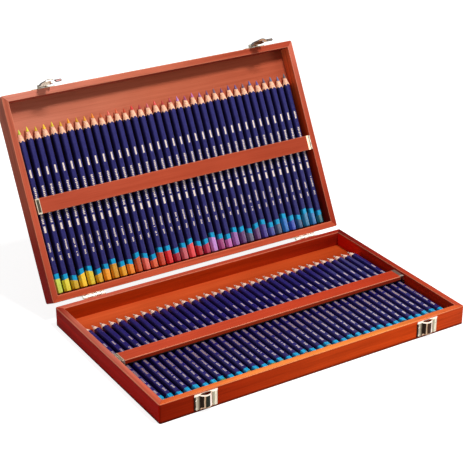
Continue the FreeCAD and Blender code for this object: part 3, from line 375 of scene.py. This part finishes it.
def catch_plate(name, middle, hollow):
    """The base catch: bright plate, with painted reflection and shade in dark bands where the nose's
    hollow and flanks turn away.
    """
    tree = Tree(name)
    wobble = tree.noise(260, detail=3, rough=0.6)
    x, _, z = tree.apart(tree.place(1, shift=(-middle, 0, 0)))
    x = tree.math("ADD", x, tree.spread(wobble, -0.5 * MM, 0.5 * MM))
    z = tree.math("ADD", z, tree.spread(wobble, 0.5 * MM, -0.5 * MM))
    # Painted reflection and shade: bands of dark and bright across the plate.
    across = tree.banded(x, [
        (-12.5, (38, 25, 20)), (-11.1, (54, 38, 30)), (-10.4, (176, 166, 148)), (-8.6, (146, 136, 116)),
        (-7.2, (104, 92, 76)), (-6.3, (30, 22, 17)), (-3.9, (38, 28, 21)), (-3.3, (194, 168, 140)),
        (-2.7, (154, 124, 98)), (-2.1, hollow), (2.2, hollow), (3.0, (246, 232, 220)),
        (5.8, (238, 218, 208)), (6.9, (128, 112, 98)), (8.0, (146, 142, 120)), (9.6, (158, 154, 132)),
        (10.5, (226, 218, 196)), (12.5, (176, 158, 136))])
    upper_edge = tree.ramp(wobble, [(0.3, srgb(226, 206, 184)), (0.6, srgb(250, 240, 226))])
    low_edge = tree.ramp(wobble, [(0.3, srgb(96, 62, 44)), (0.6, srgb(200, 168, 140))])
    colour = tree.mix(upper_edge, across, tree.within(z, 0.0, CATCH_FOLD))
    below_nose = tree.times(tree.within(z, 0.0, CATCH_LOW_EDGE), tree.within(x, -6.0 * MM, 7.5 * MM))
    colour = tree.mix(colour, low_edge, below_nose)
    return plate_finish(tree, colour, 1.0, (0.22, 0.42))


def hasp_plate(name, pivot, inside, tab, shine):
    """The hasp: inside and tab are its colours with painted light, bright on the left hasp and dark on the
    right; its outer skin and its edges are dark.
    """
    tree = Tree(name)
    wobble = tree.noise(300, detail=3, rough=0.6)
    source = tree.add("ShaderNodeTexCoord").outputs["Object"]
    moved = tree.add("ShaderNodeVectorMath", {0: source, 1: pivot}, operation="SUBTRACT").outputs[0]
    turned = tree.add("ShaderNodeVectorRotate", {"Vector": moved, "Angle": -LID_TURN},
                      rotation_type="X_AXIS").outputs[0]
    x, out, _ = tree.apart(turned)
    from_centre = tree.math("SUBTRACT", out, ARCH_CENTRE)
    from_axis = tree.math("SQRT", tree.math("ADD", tree.math("POWER", x, 2.0),
                                            tree.math("POWER", from_centre, 2.0)))
    round_mm = ARCH_ROUND / MM
    arch = tree.banded(from_axis, [(0.0, inside), (round_mm, inside), (round_mm + 0.15, (96, 72, 58)),
                                   (round_mm + 0.65, (40, 27, 22)), (12.0, (64, 46, 38))])
    flat = tree.banded(tree.math("ABSOLUTE", out), [(0.0, tab), (0.65, tab), (0.85, (66, 46, 40)),
                                                    (1.6, (52, 36, 32))])
    tone = tree.mix(arch, flat, tree.within(x, *TAB_X))
    worn = tree.ramp(wobble, [(0.3, (0.7, 0.66, 0.62)), (0.6, (1, 1, 1))])
    inner = ARCH_ROUND + 0.1 * MM
    bare = tree.times(tree.within(from_axis, 0.0, inner), tree.within(x, -inner, TAB_X[0]))
    return plate_finish(tree, tree.filtered(tone, worn, 0.5), tree.spread(bare, 0.15, shine), (0.35, 0.5))


def end_plate(name, tilt, x_range, y_range, border, inner):
    """A bar's end plate: its border bright, the field inside it duller."""
    tree = Tree(name)
    wobble = tree.noise(500, tilt, detail=3, rough=0.6)
    x, y, _ = tree.tray_point(tilt)
    field = tree.times(tree.within(x, x_range[0] * MM, x_range[1] * MM),
                       tree.within(y, y_range[0] * MM, y_range[1] * MM))
    worn = tree.ramp(wobble, [(0.3, (0.66, 0.64, 0.6)), (0.6, (1, 1, 1))])
    colour = tree.filtered(tree.mix(srgb(*border), srgb(*inner), field), worn, 0.8)
    return plate_finish(tree, colour, 0.9, (0.26, 0.46))


# ---------------------------------------------------------------- paint, wax, pencil wood and foil

# Painted shade down a barrel's flanks, between its neighbours: millimetres above its axis, and how much
# light comes back.
FLANK_SHADE = [(-4, (90, 60, 70)), (0.5, (110, 80, 90)), (2.6, (196, 186, 196)), (3.5, (255, 255, 255))]


def lacquer(name, colour, tilt=0.0, rough=0.26, coat=0.0):
    """Brushed lacquer over a slim wooden barrel, with painted shade on its flanks between neighbours."""
    tree = Tree(name)
    streaks = tree.noise((420, 30, 420), detail=4, rough=0.6)
    dust_and_light = tree.noise(1600, detail=2, rough=0.5)
    darker = tuple(value * 0.55 for value in srgb(*colour))
    lighter = tuple(min(1.0, value * 1.35 + 0.002) for value in srgb(*colour))
    painted = tree.mix(srgb(*colour), tree.ramp(streaks, [(0.3, darker), (0.7, lighter)]), 0.5)
    _, _, z = tree.tray_point(tilt)
    flank_shade = tree.banded(tree.math("SUBTRACT", z, AXIS_Z), FLANK_SHADE)
    tree.set(Base_Color=tree.filtered(painted, flank_shade), Specular_IOR_Level=0.12,
             Roughness=tree.spread(dust_and_light, rough - 0.04, rough + 0.1),
             Coat_Weight=coat, Coat_Roughness=0.12, Normal=tree.bump(streaks, 0.04 * MM, 0.4))
    return tree.material


def tinted(name, rough, coat, grain):
    """Paint or wax whose colour is the pencil's own, kept in the mesh."""
    tree = Tree(name)
    tint = tree.add("ShaderNodeAttribute", attribute_name="tint").outputs["Color"]
    speck = tree.noise(grain, detail=4, rough=0.6)
    shade = tree.ramp(speck, [(0.3, (0.72, 0.72, 0.72)), (0.7, (1.1, 1.1, 1.1))])
    tree.set(Base_Color=tree.filtered(tint, shade, 0.6), Specular_IOR_Level=0.25,
             Roughness=tree.spread(speck, rough - 0.06, rough + 0.1), Coat_Weight=coat,
             Coat_Roughness=0.15, Normal=tree.bump(speck, SCRATCH_DEEP, 0.5))
    return tree.material


def cedar(name, dark, middle, light):
    """Bare, freshly cut pencil wood with grain along the pencil and cutter rings around it."""
    tree = Tree(name)
    grain = tree.noise((900, 60, 900), detail=5, rough=0.6, distort=0.3)
    rings = tree.noise((60, 1800, 60), detail=2, rough=0.5)
    colour = tree.ramp(grain, [(0.3, srgb(*dark)), (0.5, srgb(*middle)), (0.72, srgb(*light))])
    tree.set(Base_Color=colour, Roughness=tree.spread(grain, 0.6, 0.8), Specular_IOR_Level=0.2,
             Normal=tree.bump(tree.math("ADD", grain, rings), 0.06 * MM, 0.6))
    return tree.material


def foil(name, worn, fresh, along=None, across=None):
    """Hot-stamped foil, slightly broken up; along and across are filters over the base's y and x."""
    tree = Tree(name)
    wear = tree.noise((1400, 900, 1400), detail=3, rough=0.6)
    colour = tree.ramp(wear, [(0.30, srgb(*worn)), (0.50, srgb(*fresh))])
    x, y, _ = tree.tray_point(0.0)
    for value, stops in ((y, along), (x, across)):
        if stops:
            colour = tree.filtered(colour, tree.banded(value, stops))
    tree.set(Base_Color=colour, Metallic=0.1, Roughness=tree.spread(wear, 0.4, 0.6))
    return tree.material


# ---------------------------------------------------------------- the case's own materials

# Stain along each board, as (millimetres along it, colour), with painted light and shade: the drift
# along a board, paler where light and sheen fall and darker in shade, is painted in.  The front boards
# carry the latches, the back boards the hinges.
STAIN_AND_LIGHT = {
    "base_front_board": [(-180, (216, 92, 46)), (-60, (244, 138, 66)), (70, (238, 136, 62)),
                         (180, (206, 84, 44))],
    "base_back_board": [(-180, (200, 96, 74)), (0, (186, 74, 50)), (180, (148, 34, 20))],
    "base_left_board": [(-110, (204, 92, 66)), (0, (196, 102, 84)), (70, (196, 100, 80)),
                        (110, (152, 40, 24))],
    "base_right_board": [(-110, (186, 72, 48)), (-40, (178, 62, 36)), (30, (148, 36, 22)),
                         (110, (102, 8, 2))],
    "base_floor_panel": [(-180, (208, 88, 44)), (180, (184, 68, 26))],
    "base_bar": [(-180, (190, 74, 48)), (40, (194, 66, 38)), (180, (184, 56, 28))],
    "lid_front_board": [(-180, (206, 126, 106)), (-40, (200, 110, 84)), (90, (174, 78, 54)),
                        (180, (172, 68, 46))],
    "lid_back_board": [(-180, (192, 80, 50)), (0, (204, 88, 58)), (180, (188, 78, 50))],
    "lid_left_board": [(-110, (168, 66, 44)), (0, (198, 90, 64)), (110, (180, 96, 74))],
    "lid_right_board": [(-110, (150, 46, 28)), (0, (182, 76, 52)), (110, (204, 106, 84))],
    "lid_panel": [(-180, (200, 122, 98)), (0, (192, 104, 76)), (180, (184, 88, 60))],
    "lid_bar": [(-180, (184, 80, 56)), (0, (178, 74, 48)), (180, (164, 66, 42))],
}
# The same boards below their rims, mostly darker and redder than on them: the rims' paler, pinker tone is
# painted sheen, and the drift along the sides is painted light and shade.
SIDES = {
    "base_front_board": [(-180, (150, 32, 8)), (-90, (180, 50, 14)), (0, (204, 68, 22)),
                         (120, (220, 74, 22)), (180, (212, 74, 34))],
    "base_back_board": [(-180, (168, 52, 12)), (60, (160, 44, 10)), (180, (142, 26, 10))],
    "base_left_board": [(-110, (204, 18, 4)), (110, (194, 24, 8))],
    "base_right_board": [(-110, (244, 60, 24)), (110, (246, 40, 16))],
    "base_bar": [(-180, (140, 34, 14)), (0, (176, 58, 28)), (180, (150, 42, 24))],
    "lid_front_board": [(-180, (180, 90, 70)), (180, (150, 50, 34))],
    "lid_back_board": [(-180, (160, 50, 28)), (180, (150, 46, 26))],
    "lid_left_board": [(-110, (158, 6, 2)), (-50, (170, 36, 14)), (0, (200, 92, 66)),
                       (110, (216, 126, 104))],
    "lid_right_board": [(-110, (126, 28, 26)), (-50, (190, 50, 22)), (30, (244, 84, 34)),
                        (110, (255, 140, 84))],
    "lid_bar": [(-180, (130, 40, 22)), (180, (120, 34, 18))],
}
# Painted shade across the panels: the lid's is brightest beside the pencils' points, the base's past them.
PANEL_SHADE = {"lid": [(-110, (255, 255, 255)), (70, (255, 255, 255)), (103, (226, 214, 208))],
              "base": [(-110, (236, 222, 210)), (76, (236, 222, 210)), (94, (255, 255, 255)),
                       (103, (246, 236, 230))]}
RACK_STAIN = [(-180, (58, 16, 8)), (180, (52, 14, 8))]
# The boards that the case stands on are darker towards their lowest edge: (millimetres up, filter).
FOOT = {"base": [(0, (118, 96, 90)), (1.2, (160, 146, 140)), (3.4, (255, 255, 255))], "lid": None}
SHEET = {"base": "base_floor_panel", "lid": "lid_panel"}
BOARDS = (("front", "x"), ("back", "x"), ("left", "y"), ("right", "y"))
LONG_EDGES = {"x": (HALF_DEPTH - WALL, HALF_DEPTH, HIGHLIGHT_BOARDS), "y": (SIDE_FACE, HALF_WIDTH, HIGHLIGHT_BOARDS)}

# Each bar's end plates: its material, its tray, the duller field's x and y in millimetres, and the
# colours of the border and the field.
END_PLATES = {
    "lid_bar_hinge_bar_leaf": ("lid_hinge_end", "lid", (-170.2, -167.2), (-15.6, -2.2),
                               (206, 192, 168), (76, 70, 58)),
    "lid_bar_tongue": ("lid_free_end", "lid", (168.2, 168.6), (-20.0, 2.0),
                       (250, 216, 180), (190, 120, 84)),
    "base_bar_tongue": ("base_free_end", "base", (-170.4, -169.4), (-20.0, -3.0),
                        (240, 222, 190), (150, 136, 100)),
    "base_bar_hinge_bar_leaf": ("base_hinge_end", "base", (165.0, 172.0), (-18.6, -3.0),
                                (168, 148, 134), (104, 76, 62)),
}
# Each hasp: the colours inside its arch and on its tab, painted light, bright on the left hasp and dark on
# the right, and how metallic the inside is; then the colour in the hollow of the catch below it, painted
# shade.
LATCHES = {"left": ((255, 246, 232), (206, 146, 140), 0.85, (34, 36, 30)),
           "right": ((164, 122, 92), (112, 96, 84), 0.3, (58, 40, 30))}


def dress(names, material):
    """Give CAD nodes their material."""
    for name in names:
        mesh = NODES[name].data
        mesh.materials.clear()
        mesh.materials.append(material)


def dress_tray(tray):
    """Boards, panel, bar, rack and foam of one tray."""
    tilt = TILT[tray]
    for place, (side, grain) in enumerate(BOARDS):
        board = "%s_%s_board" % (tray, side)
        dress([board], wood(board + "_wood", grain, STAIN_AND_LIGHT[board], tilt, (3 * place, place, 2 * place),
                            figure_depth=0.62, seams=True, sides=SIDES[board], foot=FOOT[tray],
                            edges=LONG_EDGES[grain]))
    sheet = SHEET[tray]
    dress([sheet], wood(sheet + "_wood", "x", STAIN_AND_LIGHT[sheet], tilt, (7, 5, 1), figure_depth=0.3,
                        pores=0.18, shaded=True, shade_across=PANEL_SHADE[tray]))
    bar = tray + "_bar"
    dress([bar], wood(bar + "_wood", "x", STAIN_AND_LIGHT[bar], tilt, (2, 9, 4), figure_depth=0.22, pores=0.2,
                      top=BAR_FACE, sides=SIDES[bar],
                      edges=(BAR_Y[tray] - BAR_HALF, BAR_Y[tray] + BAR_HALF, HIGHLIGHT_BARS[tray])))
    dress([tray + "_pencil_rack"], wood(tray + "_rack_wood", "x", RACK_STAIN, tilt, gloss=0.6))
    dress([tray + "_bar_pad"], foam(tray + "_foam"))


def dress_fittings():
    """Hinges, plates, pins, screws and nails, then the catches, hasps and bar ends over them."""
    dress([name for name in NODES if name.endswith(("_leaf", "_tongue", "_strike"))],
          plated("nickel_plate", (188, 180, 164)))
    dress([name for name in NODES if name.startswith("lid_latch_plate")],
          plated("nickel_satin", (176, 168, 152), 0.56, waves=0.25 * MM))
    dress([name for name in NODES if name.startswith("hinge_") and name.endswith("_leaf")],
          plated("nickel_bright", (246, 238, 224), 0.3, 0.2))
    dress([name for name in NODES if name.endswith("_pin")],
          plated("bright_wire", (150, 142, 128), 0.2, 0.3))
    dress([name for name in NODES if "screws" in name or "nails" in name],
          plated("nickel_dull", (214, 206, 190), 0.3, 0.35))
    for side, (inside, tab, shine, hollow) in LATCHES.items():
        pivot = JOINTS["hasp_%s_hinge" % side]["pos_m"]
        dress(["base_catch_" + side], catch_plate("catch_plate_" + side, pivot[0], hollow))
        dress(["hasp_" + side], hasp_plate("hasp_plate_" + side, pivot, inside, tab, shine))
    for node, (name, tray, x_range, y_range, border, inner) in END_PLATES.items():
        dress([node], end_plate(name, TILT[tray], x_range, y_range, border, inner))


for tray in TRAYS:
    dress_tray(tray)
dress_fittings()


# ---------------------------------------------------------------- the pencils' colours

def between(low, high, part):
    """The colour at part of the way from one to another."""
    return tuple(a + (b - a) * part for a, b in zip(low, high))


def wave(index, pace, phase):
    """A number from 0 to 1 that rises and falls from pencil to pencil."""
    return 0.5 + 0.5 * math.sin(pace * index + phase)


def shades(keys):
    """One colour for each pencil: the named hues in order, with in-between ones."""
    out = []
    for index in range(PENCILS):
        spot = index / (PENCILS - 1) * (len(keys) - 1)
        low = min(int(spot), len(keys) - 2)
        depth = 0.7 + 0.4 * wave(index, 2.3, 0.5)
        hue = srgb(*between(keys[low], keys[low + 1], spot - low))
        out.append(tuple(value * depth for value in hue))
    return out


HUES = {
    "lime": (206, 224, 84), "lemon": (250, 226, 56), "amber": (250, 188, 34), "orange": (244, 150, 30),
    "vermilion": (236, 98, 34), "coral": (232, 110, 104), "scarlet": (226, 36, 36),
    "crimson": (186, 22, 50), "pink": (236, 124, 130), "magenta": (186, 52, 120),
    "lilac": (202, 140, 214), "violet": (116, 56, 130), "slate": (94, 88, 116),
    "ultramarine": (46, 58, 164), "azure": (24, 112, 192), "teal": (28, 112, 128),
    "emerald": (30, 150, 104), "leaf": (84, 150, 60), "olive": (124, 130, 60),
    "ochre": (156, 112, 58), "umber": (110, 66, 46), "taupe": (116, 104, 94),
    "grey": (126, 130, 138), "black": (38, 38, 42),
}
ORDER = {
    "lid": ("lime lemon amber lemon amber orange amber orange vermilion coral vermilion scarlet crimson "
            "pink scarlet crimson lilac magenta lilac violet slate violet ultramarine slate azure "
            "ultramarine teal azure teal"),
    "base": "teal azure emerald leaf olive leaf ochre umber ochre umber taupe grey black grey black",
}
TINTS = {tray: shades([HUES[name] for name in names.split()]) for tray, names in ORDER.items()}
BAND_BLUE = (10, 156, 204)
# What the cut leads' colours are blended with, and how much on the first pencil and on the last: a pale
# cream on the base, painted light, and a pinkish brown on the lid.
LEAD_BLEND_AND_LIGHT = {"lid": (srgb(168, 104, 88), 0.0, 0.35), "base": (srgb(252, 222, 204), 0.85, 0.85)}

# ---------------------------------------------------------------- the pencils' meshes

# A casing's materials, in the order of its slots.
NAVY, CEDAR, BAND, DIPPED = range(4)
CORNER_EASE = 0.09                              # share of a flat that each eased corner takes
LEAD_SIDES = 12
# The dipped end's rounding: share of the full width, and millimetres from the end.
BLUNT_ROUNDING = ((0.90, 0.0), (0.975, 0.12), (1.0, 0.5))
# Plain rings of the barrel, in millimetres from the blunt end.
BARREL_RINGS = (60.0, 100.0, 140.0)


def hexagon():
    """The barrel's outline as (x, z) points, with its corners eased."""
    corners = [Vector((math.cos(math.radians(60 * side)), math.sin(math.radians(60 * side)))) * CORNER
               for side in range(6)]
    points = []
    for side, here in enumerate(corners):
        before, after = corners[side - 1], corners[(side + 1) % 6]
        arrive = here.lerp(before, CORNER_EASE)
        leave = here.lerp(after, CORNER_EASE)
        points += [arrive, (arrive + leave + here * 2) / 4, leave]
        points += [leave.lerp(after.lerp(here, CORNER_EASE), part) for part in (0.25, 0.5, 0.75)]
    return points


OUTLINE = hexagon()


def pencil_x(index):
    """Where one pencil's axis lies across its tray."""
    return (index - (PENCILS - 1) / 2) * PITCH


def tip_of(tray, index):
    """Where one pencil's point lies along its tray."""
    return TIP_Y - WEAR * wave(index, 2.4, WEAR_PHASE[tray])


def cone_y(tip, reach):
    """Where a cone with this tip is reach wide, from its axis."""
    return tip - (reach - POINT) / SLOPE


def barrel_ring(y, scale=1.0, lean=0.0):
    """The outline at y, scaled, leaning forward towards one side."""
    return [(spot.x * scale, spot.y * scale, y + lean * spot.x) for spot in OUTLINE]


def cone_ring(tip, lead, part):
    """The outline drawn in from the barrel, at part 0, to the lead, at part 1, along the cone."""
    out = []
    for spot in OUTLINE:
        reach = spot.length + (lead - spot.length) * part
        out.append((*(spot / spot.length * reach), cone_y(tip, reach)))
    return out


def disc_ring(y, radius):
    """A round ring of the lead."""
    turns = [math.radians(360 / LEAD_SIDES * k) for k in range(LEAD_SIDES)]
    return [(radius * math.cos(turn), radius * math.sin(turn), y) for turn in turns]


def ring(mesh, x, points):
    """Vertices at points, which are (across, up, along) from the axis of the pencil at x."""
    return [mesh.verts.new((x + across, along, AXIS_Z + up)) for across, up, along in points]


def skin(mesh, low, high, material, tint, layer):
    """Smooth faces from one ring of vertices to the next."""
    count = len(low)
    for index in range(count):
        after = (index + 1) % count
        face = mesh.faces.new((low[index], low[after], high[after], high[index]))
        face.material_index = material
        face.smooth = True
        for loop in face.loops:
            loop[layer] = (*tint, 1)


def cap(mesh, loop, material, tint, layer, flip=False):
    """One flat face that closes a ring."""
    face = mesh.faces.new(loop[::-1] if flip else loop)
    face.material_index = material
    for corner in face.loops:
        corner[layer] = (*tint, 1)


def pencil(mesh, layer, tray, index):
    """Barrel, dipped end, turquoise ring and sharpened cone of one pencil."""
    x = pencil_x(index)
    tint = TINTS[tray][index]
    tip = tip_of(tray, index)
    lead = LEAD_SEEN[tray]
    dip = BLUNT_Y + DIP_LEAST + DIP_MORE[tray] * wave(index, 1.9, 1.1)
    lean = 0.35 * math.sin(2.7 * index)

    rows = [(barrel_ring(BLUNT_Y + spot * MM, scale), DIPPED) for scale, spot in BLUNT_ROUNDING]
    rows.append((barrel_ring(dip, lean=lean), BAND))
    rows.append((barrel_ring(dip + BAND_LONG, lean=lean * 0.6), NAVY))
    rows += [(barrel_ring(BLUNT_Y + spot * MM), NAVY) for spot in BARREL_RINGS]
    rows += [(cone_ring(tip, lead, part), CEDAR) for part in (0.0, 0.35, 0.7, 1.0)]
    rings = [ring(mesh, x, points) for points, _ in rows]
    for low, high, (_, material) in zip(rings, rings[1:], rows):
        skin(mesh, low, high, material, tint, layer)
    cap(mesh, rings[0], DIPPED, tint, layer, flip=True)

    # The wood's mouth around the lead, closed a little way in.
    mouth = [(*(spot / spot.length * lead * 0.98), cone_y(tip, lead) - 1.5 * MM) for spot in OUTLINE]
    bottom = ring(mesh, x, mouth)
    skin(mesh, rings[-1], bottom, CEDAR, tint, layer)
    cap(mesh, bottom, CEDAR, tint, layer)


def point(mesh, layer, tray, index):
    """The visible lead of one pencil."""
    x = pencil_x(index)
    dust_and_light, first, last = LEAD_BLEND_AND_LIGHT[tray]
    tint = between(TINTS[tray][index], dust_and_light, first + (last - first) * index / (PENCILS - 1))
    tip = tip_of(tray, index)
    lead = LEAD_SEEN[tray] - 0.03 * MM
    base = cone_y(tip, lead)
    # From inside the wood to the rounded point: place along the pencil, and radius.
    sizes = [(base - 1.2 * MM, lead * 0.98), (base, lead), ((base + tip) / 2, (lead + POINT) / 2),
             (tip - 0.25 * MM, POINT), (tip - 0.03 * MM, POINT * 0.45)]
    rings = [ring(mesh, x, disc_ring(y, radius)) for y, radius in sizes]
    for low, high in zip(rings, rings[1:]):
        skin(mesh, low, high, 0, tint, layer)
    cap(mesh, rings[0], 0, tint, layer, flip=True)
    cap(mesh, rings[-1], 0, tint, layer)


# ---------------------------------------------------------------- stamped foil

# Runs of stamping along each barrel: from, to, width and step in millimetres; a step of 0 is one dash.
MARKS = {
    "lid": ((33.0, 38.5, 1.8, 1.3), (64.5, 71.4, 2.2, 0), (73.6, 113.8, 2.4, 1.9), (123.4, 132.0, 1.8, 0)),
    "base": ((22.0, 29.0, 2.2, 1.5), (33.0, 41.0, 1.9, 1.4), (57.0, 71.0, 2.7, 1.6),
             (73.6, 114.0, 2.7, 1.6), (123.4, 131.0, 1.5, 0)),
}
# One more run, whose length varies: from, its shortest length, and what the longest has on top.
VARIED_FROM, VARIED_LEAST, VARIED_MORE = 42.5, 8, 6
TICK_SHARE = 0.66                               # share of its step that a tick fills
FINE_MARK = 2                                   # runs slimmer than this, in millimetres, miss ticks


def rung(mesh, x, y, size_x, size_y):
    """A thin raised block of foil on a barrel's upper flat."""
    flat = AXIS_Z + FLATS / 2
    corners = [mesh.verts.new((x + sx * size_x / 2, y + sy * size_y / 2, z))
               for z in (flat - FOIL_SUNK, flat + FOIL_PROUD)
               for sx, sy in ((-1, -1), (1, -1), (1, 1), (-1, 1))]
    for face in ((3, 2, 1, 0), (4, 5, 6, 7), (0, 1, 5, 4), (1, 2, 6, 5), (2, 3, 7, 6), (3, 0, 4, 7)):
        mesh.faces.new([corners[k] for k in face])


def marks(mesh, tray, index):
    """Plain dashes and ticks stamped along the barrel, and one run whose length varies."""
    x = pencil_x(index)
    varied_to = VARIED_FROM + VARIED_LEAST + VARIED_MORE * wave(index, 3.1, 0.4)
    for low, high, broad, step in (*MARKS[tray], (VARIED_FROM, varied_to, 1.9, 1.25)):
        if not step:
            rung(mesh, x, BLUNT_Y + (low + high) / 2 * MM, broad * MM, (high - low) * MM)
            continue
        for k in range(int((high - low) / step)):
            if broad < FINE_MARK and (k * 7 + index * 3) % 23 == 0:
                continue
            shift = 0.05 * math.sin(5.3 * k + index) * broad
            size = broad * (0.86 + 0.14 * math.sin(3.7 * k + 2 * index))
            y = BLUNT_Y + (low + (k + 0.5) * step) * MM
            rung(mesh, x + shift * MM, y, size * MM, step * TICK_SHARE * MM)


# ---------------------------------------------------------------- the pencils' pieces

def build(name, tray, materials, fill):
    """A new piece on its tray, whose mesh fill() draws in the tray's own frame."""
    mesh = bmesh.new()
    layer = mesh.loops.layers.float_color.new("tint")
    fill(mesh, layer)
    mesh.transform(TRAYS[tray])
    bmesh.ops.recalc_face_normals(mesh, faces=mesh.faces)
    data = bpy.data.meshes.new(name)
    mesh.to_mesh(data)
    mesh.free()
    for material in materials:
        data.materials.append(material)
    item = bpy.data.objects.new(name, data)
    bpy.context.scene.collection.objects.link(item)
    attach(item, tray + "_tray")
    return item


NAVY_LACQUER = {"lid": lacquer("navy_lacquer_lid", (42, 40, 100), LID_TURN),
                "base": lacquer("navy_lacquer_base", (36, 30, 98))}
BAND_LACQUER = {"lid": lacquer("turquoise_band_lid", BAND_BLUE, LID_TURN, 0.3, 0.1),
                "base": lacquer("turquoise_band_base", BAND_BLUE, 0.0, 0.3, 0.1)}
# The base's cedar is a paler copy of the same wood as the lid's: painted light on its cones.
CUT_CEDAR = {"lid": cedar("peach_cedar", (222, 152, 120), (242, 188, 154), (250, 214, 186)),
             "base": cedar("pale_cedar", (240, 188, 162), (254, 222, 200), (255, 240, 226))}
STAMP_FOIL = {"lid": foil("pale_foil", (158, 140, 134), (230, 212, 196)),
              "base": foil("dim_foil", (110, 94, 116), (226, 210, 204),
                           along=[(-102, (255, 255, 255)), (-60, (255, 255, 255)),
                                  (-50, (204, 188, 184)), (-22, (192, 176, 172)),
                                  (-4, (228, 220, 228)), (76, (220, 214, 232))],
                           across=[(-180, (228, 224, 228)), (-40, (238, 234, 236)),
                                   (60, (255, 255, 255))])}
DIPPED_PAINT = tinted("dipped_end_paint", 0.28, 0.5, 500)
WAX = tinted("pencil_wax", 0.55, 0.1, 1500)

for tray in TRAYS:
    coats = [NAVY_LACQUER[tray], CUT_CEDAR[tray], BAND_LACQUER[tray], DIPPED_PAINT]
    casings = build(tray + "_pencils", tray, coats,
                    lambda mesh, layer: [pencil(mesh, layer, tray, k) for k in range(PENCILS)])
    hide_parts(tray + "_pencil_casings")
    leads = build(tray + "_points", tray, [WAX],
                  lambda mesh, layer: [point(mesh, layer, tray, k) for k in range(PENCILS)])
    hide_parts(tray + "_pencil_leads")
    stamped = build(tray + "_foil_marks", tray, [STAMP_FOIL[tray]],
                    lambda mesh, layer: [marks(mesh, tray, k) for k in range(PENCILS)])


# ---------------------------------------------------------------- stage, light, camera

def floor_material():
    """Mid grey that takes the shadow, with white added on top for what the camera sees."""
    tree = Tree("pale_floor")
    grey = tree.ramp(tree.noise(30, detail=3), [(0.3, (0.52, 0.52, 0.52)), (0.7, (0.54, 0.54, 0.54))])
    tree.set(Base_Color=grey, Roughness=0.9, Specular_IOR_Level=0.0)
    glow = tree.add("ShaderNodeEmission", {"Color": (1, 1, 1, 1), "Strength": FLOOR_GLOW})
    dark = tree.add("ShaderNodeEmission", {"Color": (0, 0, 0, 1), "Strength": 0.0})
    picked = tree.add("ShaderNodeMixShader", {0: tree.seen(), 1: dark.outputs[0], 2: glow.outputs[0]})
    total = tree.add("ShaderNodeAddShader", {0: tree.shader.outputs[0], 1: picked.outputs[0]})
    tree.plug(tree.output.inputs["Surface"], total.outputs[0])
    return tree.material


def lay_floor():
    bpy.ops.mesh.primitive_plane_add(size=14, location=(0, 0, -0.2 * MM))
    floor = bpy.context.object
    floor.name = "floor"
    floor.data.materials.append(floor_material())


def light_sky():
    """A dim, even light from all around, which the camera sees as white."""
    world = bpy.data.worlds.new("studio")
    bpy.context.scene.world = world
    world.use_nodes = True
    sky = Graph(world.node_tree)
    background = sky.add("ShaderNodeBackground", {
        "Color": (1, 1, 1, 1), "Strength": sky.spread(sky.seen(), SKY_LIGHT, 1.0)})
    sky.add("ShaderNodeOutputWorld", {"Surface": background.outputs[0]})


def lamp(name, place, target, size, power):
    """A round lamp, in metres and watts."""
    data = bpy.data.lights.new(name, "AREA")
    data.shape = "DISK"
    data.size = size
    data.energy = power
    item = bpy.data.objects.new(name, data)
    item.location = place
    item.rotation_euler = (Vector(target) - Vector(place)).to_track_quat("-Z", "Y").to_euler()
    bpy.context.scene.collection.objects.link(item)


def set_camera():
    data = bpy.data.cameras.new("camera")
    data.sensor_width = 36
    data.lens = CAMERA_LENS
    camera = bpy.data.objects.new("camera", data)
    camera.location = CAMERA_PLACE
    camera.rotation_euler = (math.radians(90) - CAMERA_DOWN, 0, CAMERA_HEADING)
    bpy.context.scene.collection.objects.link(camera)
    bpy.context.scene.camera = camera


lay_floor()
light_sky()
lamp("key", place=(0.35, -0.62, 1.9), target=(0, 0.05, 0.05), size=0.42, power=37)
lamp("front_fill", place=(1.5, -1.2, 0.6), target=(0, 0, 0.1), size=0.9, power=9)
set_camera()
bpy.context.scene.view_settings.view_transform = "Standard"
